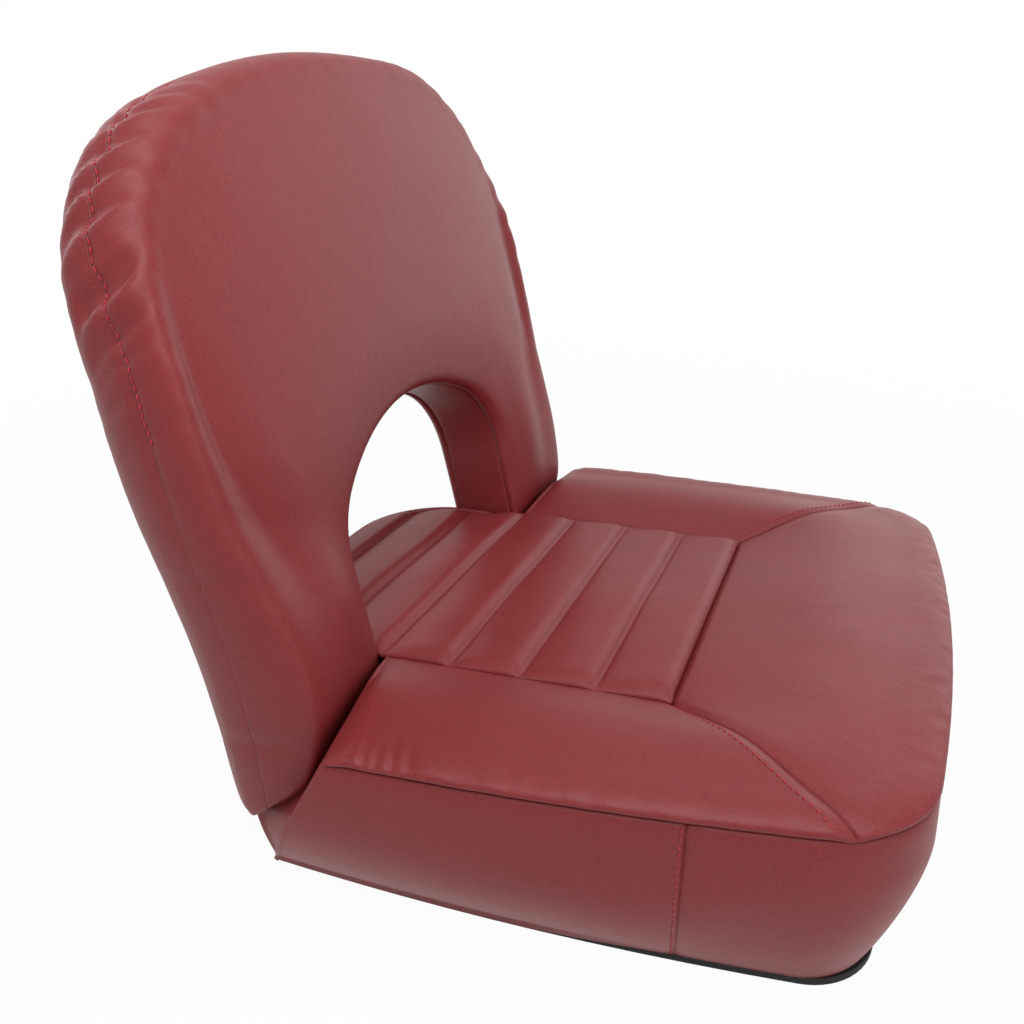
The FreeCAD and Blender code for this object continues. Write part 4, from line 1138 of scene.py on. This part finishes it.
def bend_with_back(made):
    """Bakes a soft piece's placement into its mesh; it is not bent round the hinge."""
    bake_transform(made)


# share of a back cover's rows that its edge holds, and the height up to which the seat leaves it no room;
# from the next height on it starts to swell, and swells fully this much further up
EDGE_HELD = 0.44
SEAT_HELD = 0.15
SWELL_START = 0.20
SWELL_RISE = 0.10


def held_on_back(u, v, point):
    """Whether a point of the back's cover is on its edge, or by the seat, where it has no room to swell."""
    return v < EDGE_HELD or point.z < SEAT_HELD


def back_cap(point):
    """How far a point of the back's covers may swell."""
    return SWELL_CAP * ease((point.z - SWELL_START) / SWELL_RISE)


# rows of the back's covers crowd towards the edge seam
SEAM_CROWDING = 1.4
# passes that smooth the legs, the heights under which the first and the last one work, and between which rows
SMOOTHING = 40
SMOOTH_TOPS = (0.26, 0.12)
SMOOTH_ROWS = (0.20, 0.97)


def smooth_legs(bm, grid):
    """Smooths the covers' legs away from their seams, more and more towards the floor."""
    low, high = SMOOTH_ROWS
    for step in range(SMOOTHING):
        top = mix(*SMOOTH_TOPS, step / (SMOOTHING - 1))
        leg = [vert for vert, (_, v) in grid.items() if vert.co.z < top and low < v < high]
        bmesh.ops.smooth_vert(bm, verts=leg, factor=0.5, use_axis_x=True, use_axis_y=True, use_axis_z=True)


def bending_cover(made, thickness, nodes):
    """Finishes a padded vinyl piece that stands for CAD nodes: gives it a wall, bakes its placement and hides
    the nodes.
    """
    add_wall(made, thickness)
    bend_with_back(made)
    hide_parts(*nodes)


class BackCovers(bpy.types.Operator):
    """Make the back's front and rear covers with their legs, and the band in the opening"""
    bl_idname = "chair.back_covers"
    bl_label = "Back covers"

    def execute(self, context):
        inside = stand(0.0, 0.30, 0.0)
        parts = (
            (-1.0, "back_front_cover", ("back_front_cushion", "leg_sleeve_left", "leg_sleeve_right")),
            (1.0, "back_rear_cover", ("back_rear_cushion",)),
        )
        for face, name, nodes in parts:
            bm = bmesh.new()
            grid = patch(bm, 420, 64, lambda u, v: back_point(face, u, v ** SEAM_CROWDING), inside)
            smooth_legs(bm, grid)
            still = sewn_points(bm, grid, held_on_back)
            made = piece(name, bm, coated_vinyl())
            swell(made, still, back_cap)
            bending_cover(made, COVER_WALL, nodes)
        for side, hand in SIDES:
            bm = bmesh.new()
            patch(bm, 20, 12, lambda u, v: gusset_point(side, u, v), Vector((side * 0.1, 0.15, 0.03)))
            made = piece("leg_gusset_" + hand, bm, coated_vinyl())
            add_wall(made, GUSSET_WALL)
            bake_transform(made)
        bm = bmesh.new()
        patch(bm, 260, 16, band_point, stand(0.0, 0.40, 0.0))
        made = piece("back_opening_lining", bm, coated_vinyl())
        bending_cover(made, LINING_WALL, ("back_opening_band",))
        return {"FINISHED"}


# rows of faces cut across the back's foam round the hinge
FOAM_SLICES = 12
# points of a frame mesh that lie this near are one
SAME_POINT = 0.00001


class FoamCores(bpy.types.Operator):
    """Make the foam inside the seat and the back from the frame's own forms"""
    bl_idname = "chair.foam_cores"
    bl_label = "Foam cores"

    def execute(self, context):
        for node, slices in (("seat_foam", 0), ("back_core_foam", FOAM_SLICES)):
            made = self.block(node, slices)
            if slices:
                bend_with_back(made)
            else:
                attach(made, "seat")
            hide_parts(node)
        return {"FINISHED"}

    def block(self, node, slices):
        """A merged copy of a frame node, cut across the hinge's bend if it has slices."""
        bm = bmesh.new()
        bm.from_mesh(frame["nodes"][node].data)
        bmesh.ops.remove_doubles(bm, verts=bm.verts[:], dist=SAME_POINT)
        along = stand(0.0, 1.0, 0.0) - stand(0.0, 0.0, 0.0)
        for i in range(slices + 1 if slices else 0):
            cut = stand(0.0, mix(BEND_START, BEND_END, i / slices), 0.0)
            parts = bm.verts[:] + bm.edges[:] + bm.faces[:]
            bmesh.ops.bisect_plane(bm, geom=parts, plane_co=cut, plane_no=along)
        # cut polyurethane foam: pale and matt, with open cells that are drawn at 4 mm so that they show
        foam = plain_finish(
            "cut_foam", finish().foam, rough=0.85, metal=0.0, spot=0.004, dark=0.85, bump=0.0008)
        return piece(node + "_block", bm, foam)


# distance between stitches, length and thickness of a stitch on the seat and on the back, and how far the
# thread's middle stands off the vinyl
STITCH_PITCH = 0.0048
SEAT_STITCH = (0.0030, 0.0008)
BACK_STITCH = (0.0042, 0.0009)
THREAD_LIFT = 0.0003
# faces of a stitch, round it and along it
STITCH_ROUND = 6
STITCH_LONG = 4


def on_sheet(name, path):
    """A path laid on a finished sheet."""
    sheet = bpy.data.objects[name]
    laid = []
    for point in path:
        found, place, normal, _ = sheet.closest_point_on_mesh(point)
        if not found:
            raise RuntimeError("no place for a stitch on " + name)
        laid.append(place + normal * THREAD_LIFT)
    return laid


def lay_stitches(bm, path, stitch, thick):
    """Sets a stitch every STITCH_PITCH metres along a path of points."""
    behind = 0.0
    for start, end in zip(path, path[1:]):
        step = end - start
        run = step.length
        way = STITCH_PITCH - behind
        while way <= run:
            turn = step.to_track_quat("Z", "Y").to_matrix().to_4x4()
            size = Matrix.Diagonal((thick, thick, stitch, 1.0))
            place = Matrix.Translation(start + step * (way / run)) @ turn @ size
            bmesh.ops.create_uvsphere(
                bm, u_segments=STITCH_ROUND, v_segments=STITCH_LONG, radius=0.5, matrix=place)
            way += STITCH_PITCH
        behind = run - (way - STITCH_PITCH)


def thread_piece(name, bm, kind, rgb):
    """Finishes a row of stitches in spun polyester thread: satin, with fibres that darken it in spots."""
    for face in bm.faces:
        face.smooth = True
    # spots of 2 mm, far coarser than the fibres, so that they show
    thread = plain_finish(kind, rgb, rough=0.6, metal=0.0, spot=0.002, dark=0.7, bump=0.0002)
    made = piece(name, bm, thread)
    return made


# points along a seat seam and along the back's edge
SEAT_STEPS = 80
EDGE_STEPS = 600
# the mitre's thread: share along the side bolster, and its start and length from the pleats to the edge
MITRE_THREAD = 0.035
MITRE_THREAD_START = 0.02
MITRE_THREAD_LENGTH = 0.88
# the boxing's thread runs this far behind its seam
WALL_THREAD = 0.002
# the back's thread shows from here on, as a share of its whole outline, and runs this far from the edge seam
SEWN = 0.225
EDGE_THREAD = 0.004


class Stitching(bpy.types.Operator):
    """Sew the mitres, the boxing's vertical seams and the back's edge seam"""
    bl_idname = "chair.stitching"
    bl_label = "Stitching"

    def execute(self, context):
        s = seat_sizes()
        bm = bmesh.new()
        for side, hand in SIDES:
            ways = [MITRE_THREAD_START + MITRE_THREAD_LENGTH * i / SEAT_STEPS for i in range(SEAT_STEPS + 1)]
            mitre = [side_bolster_point(side, MITRE_THREAD, v) for v in ways]
            lay_stitches(bm, on_sheet("seat_side_bolster_" + hand, mitre), *SEAT_STITCH)
            run = run_at(s.boxing_seam) + WALL_THREAD
            wall = [boxing_point(side * run, i / SEAT_STEPS) for i in range(SEAT_STEPS + 1)]
            lay_stitches(bm, on_sheet("seat_boxing_wall_" + hand, wall), *SEAT_STITCH)
        made = thread_piece("seat_stitching", bm, "red_polyester_thread", finish().thread)
        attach(made, "seat")
        bm = bmesh.new()
        ways = [mix(SEWN, 1.0 - SEWN, i / EDGE_STEPS) for i in range(EDGE_STEPS + 1)]
        edge = [back_point(-1.0, u, EDGE_THREAD) for u in ways]
        lay_stitches(bm, on_sheet("back_front_cover", edge), *BACK_STITCH)
        made = thread_piece("back_stitching", bm, "dark_polyester_thread", finish().dark_thread)
        bend_with_back(made)
        return {"FINISHED"}


# frame nodes that keep their own form, by finish
CAD_NODES = {
    "base_black": ("base_cover",),
    "belt": ("seat_support_belts", "back_support_belts"),
    "tube": ("seat_frame_tube", "seat_cross_tube", "back_frame_tube", "back_cross_bar"),
    "hinge_steel": ("seat_rail_pins", "back_upright_pins", "hinge_bracket_left", "hinge_bracket_right",
                    "hinge_pivot_rivets", "pawl_rivets", "hinge_pawl_left", "hinge_pawl_right",
                    "ratchet_arm_left", "ratchet_arm_right"),
    "spring_steel": ("pawl_spring_left", "pawl_spring_right"),
}


class Metalwork(bpy.types.Operator):
    """Give the frame, belts, hinges and base cloth their finishes"""
    bl_idname = "chair.metalwork"
    bl_label = "Metalwork and base"

    def execute(self, context):
        f = finish()
        finishes = {
            # bonded fibres: matt, with dark specks of 1.5 mm, coarser than the fibres so that they show
            "base_black": plain_finish(
                "nonwoven_cloth", f.black_cloth, rough=0.9, metal=0.0, spot=0.0015, dark=0.6, bump=0.0004),
            # woven elastic: matt, with an uneven weave of 2 mm
            "belt": plain_finish(
                "elastic_webbing", f.belt, rough=0.8, metal=0.0, spot=0.002, dark=0.7, bump=0.0004),
            # sprayed paint: satin, with a faint orange peel of 12 mm
            "tube": plain_finish(
                "painted_steel", f.tube, rough=0.45, metal=0.0, spot=0.012, dark=0.85, bump=0.0001),
            # plated zinc: bright, with cloudy patches of 6 mm
            "hinge_steel": plain_finish(
                "zinc_plated_steel", f.zinc, rough=0.35, metal=1.0, spot=0.006, dark=0.8, bump=0.0001),
            # drawn spring steel: darker and smoother, with 3 mm patches of scale
            "spring_steel": plain_finish(
                "spring_steel", f.spring, rough=0.3, metal=1.0, spot=0.003, dark=0.8, bump=0.0001),
        }
        for kind, nodes in CAD_NODES.items():
            for name in nodes:
                for holder in frame["nodes"][name].material_slots:
                    holder.material = finishes[kind]
        return {"FINISHED"}


# lamps: name, place, width and watts; they all aim at this point
LAMPS = (
    ("Key", (-0.50, -0.10, 0.90), 0.7, 5.1),
    ("Window", (1.6, -0.6, 0.75), 1.5, 6.5),
    ("Front", (-0.9, -1.8, 0.8), 1.2, 6.5),
    ("Top", (0.0, -0.1, 2.1), 1.6, 6.7),
    ("Rear", (0.3, 2.0, 1.2), 1.2, 8.0),
)
LAMP_AIM = Vector((0.0, 0.0, 0.15))
# the camera's place and turn, in metres and degrees
CAMERA_PLACE = (-0.5991, -0.1632, 0.4339)
CAMERA_TURN = (66.871, 0.0325, -68.0376)
WHITE = (1.0, 1.0, 1.0, 1.0)


class Stage(bpy.types.Operator):
    """Set the camera, the pale floor and the studio light"""
    bl_idname = "chair.stage"
    bl_label = "Stage"

    def execute(self, context):
        scene = context.scene
        scene.view_settings.view_transform = "Standard"
        lens = bpy.data.cameras.new("Camera")
        lens.lens = 32.386
        lens.sensor_width = 36.0
        camera = bpy.data.objects.new("Camera", lens)
        camera.location = CAMERA_PLACE
        camera.rotation_euler = Euler([math.radians(turn) for turn in CAMERA_TURN])
        scene.collection.objects.link(camera)
        scene.camera = camera
        self.floor()
        self.sky(scene)
        for name, place, width, watts in LAMPS:
            self.lamp(scene, name, place, width, watts)
        return {"FINISHED"}

    def floor(self):
        # matt studio paper, with the shadow faint on it
        bm = bmesh.new()
        bmesh.ops.create_grid(bm, x_segments=8, y_segments=8, size=6.0)
        made, tree, place = blank_material("studio_floor")
        matt = add_node(tree, "ShaderNodeBsdfDiffuse", {"Color": opaque(finish().floor)})
        glow = add_node(tree, "ShaderNodeEmission", {"Color": WHITE, "Strength": 1.0})
        ray = add_node(tree, "ShaderNodeLightPath")
        seen = add_node(tree, "ShaderNodeMath", {
            0: ray.outputs["Is Camera Ray"], 1: ray.outputs["Is Glossy Ray"]}, operation="MAXIMUM")
        away = add_node(tree, "ShaderNodeVectorMath", {0: place}, operation="LENGTH")
        # the shadow lies within a metre; further out the floor is as white as the sky, so no horizon shows
        white = add_node(tree, "ShaderNodeMapRange", {
            "Value": away.outputs["Value"], "From Min": 0.5, "From Max": 1.6, "To Min": 0.95, "To Max": 1.0})
        share = add_node(tree, "ShaderNodeMath", {
            0: seen.outputs["Value"], 1: white.outputs["Result"]}, operation="MULTIPLY")
        both = add_node(tree, "ShaderNodeMixShader", {
            "Fac": share.outputs["Value"], 1: matt.outputs["BSDF"], 2: glow.outputs["Emission"]})
        add_node(tree, "ShaderNodeOutputMaterial", {"Surface": both.outputs["Shader"]})
        piece("studio_floor", bm, made)

    def sky(self, scene):
        world = bpy.data.worlds.new("Studio")
        world.use_nodes = True
        scene.world = world
        tree = world.node_tree
        tree.nodes.clear()
        ray = add_node(tree, "ShaderNodeLightPath")
        seen = add_node(tree, "ShaderNodeMath", {
            0: ray.outputs["Is Camera Ray"], 1: ray.outputs["Is Glossy Ray"]}, operation="MAXIMUM")
        # white to look at, but a weaker light on the chair
        strength = add_node(tree, "ShaderNodeMapRange", {
            "Value": seen.outputs["Value"], "To Min": 0.29, "To Max": 1.0})
        glow = add_node(tree, "ShaderNodeBackground", {
            "Color": WHITE, "Strength": strength.outputs["Result"]})
        add_node(tree, "ShaderNodeOutputWorld", {"Surface": glow.outputs["Background"]})

    def lamp(self, scene, name, place, width, watts):
        data = bpy.data.lights.new(name, "AREA")
        data.size = width
        data.energy = watts
        made = bpy.data.objects.new(name, data)
        made.location = place
        made.visible_camera = False
        made.rotation_euler = (LAMP_AIM - Vector(place)).to_track_quat("-Z", "Y").to_euler()
        scene.collection.objects.link(made)


OPERATORS = (Stage, SeatBolsters, SeatPleats, SeatBoxing, BackCovers, FoamCores, Stitching, Metalwork)


class ChairPanel(bpy.types.Panel):
    """The chair's steps and sizes"""
    bl_idname = "VIEW3D_PT_floor_chair"
    bl_label = "Floor Chair"
    bl_space_type = "VIEW_3D"
    bl_region_type = "UI"
    bl_category = "Floor Chair"

    def draw(self, context):
        for step in OPERATORS:
            self.layout.operator(step.bl_idname)
        for group in (context.scene.chair_seat, context.scene.chair_back, context.scene.chair_finish):
            box = self.layout.box()
            for key in group.__annotations__:
                box.prop(group, key)


GROUPS = (("chair_seat", SeatSizes), ("chair_back", BackSizes), ("chair_finish", Finish))


def register():
    for key, group in GROUPS:
        bpy.utils.register_class(group)
        setattr(bpy.types.Scene, key, PointerProperty(type=group))
    for step in OPERATORS:
        bpy.utils.register_class(step)
    bpy.utils.register_class(ChairPanel)


def unregister():
    bpy.utils.unregister_class(ChairPanel)
    for step in reversed(OPERATORS):
        bpy.utils.unregister_class(step)
    for key, group in reversed(GROUPS):
        delattr(bpy.types.Scene, key)
        bpy.utils.unregister_class(group)


def main():
    register()
    bpy.ops.chair.stage()
    bpy.ops.chair.seat_bolsters()
    bpy.ops.chair.seat_pleats()
    bpy.ops.chair.seat_boxing()
    bpy.ops.chair.back_covers()
    bpy.ops.chair.foam_cores()
    bpy.ops.chair.stitching()
    bpy.ops.chair.metalwork()


if __name__ == "__main__":
    main()
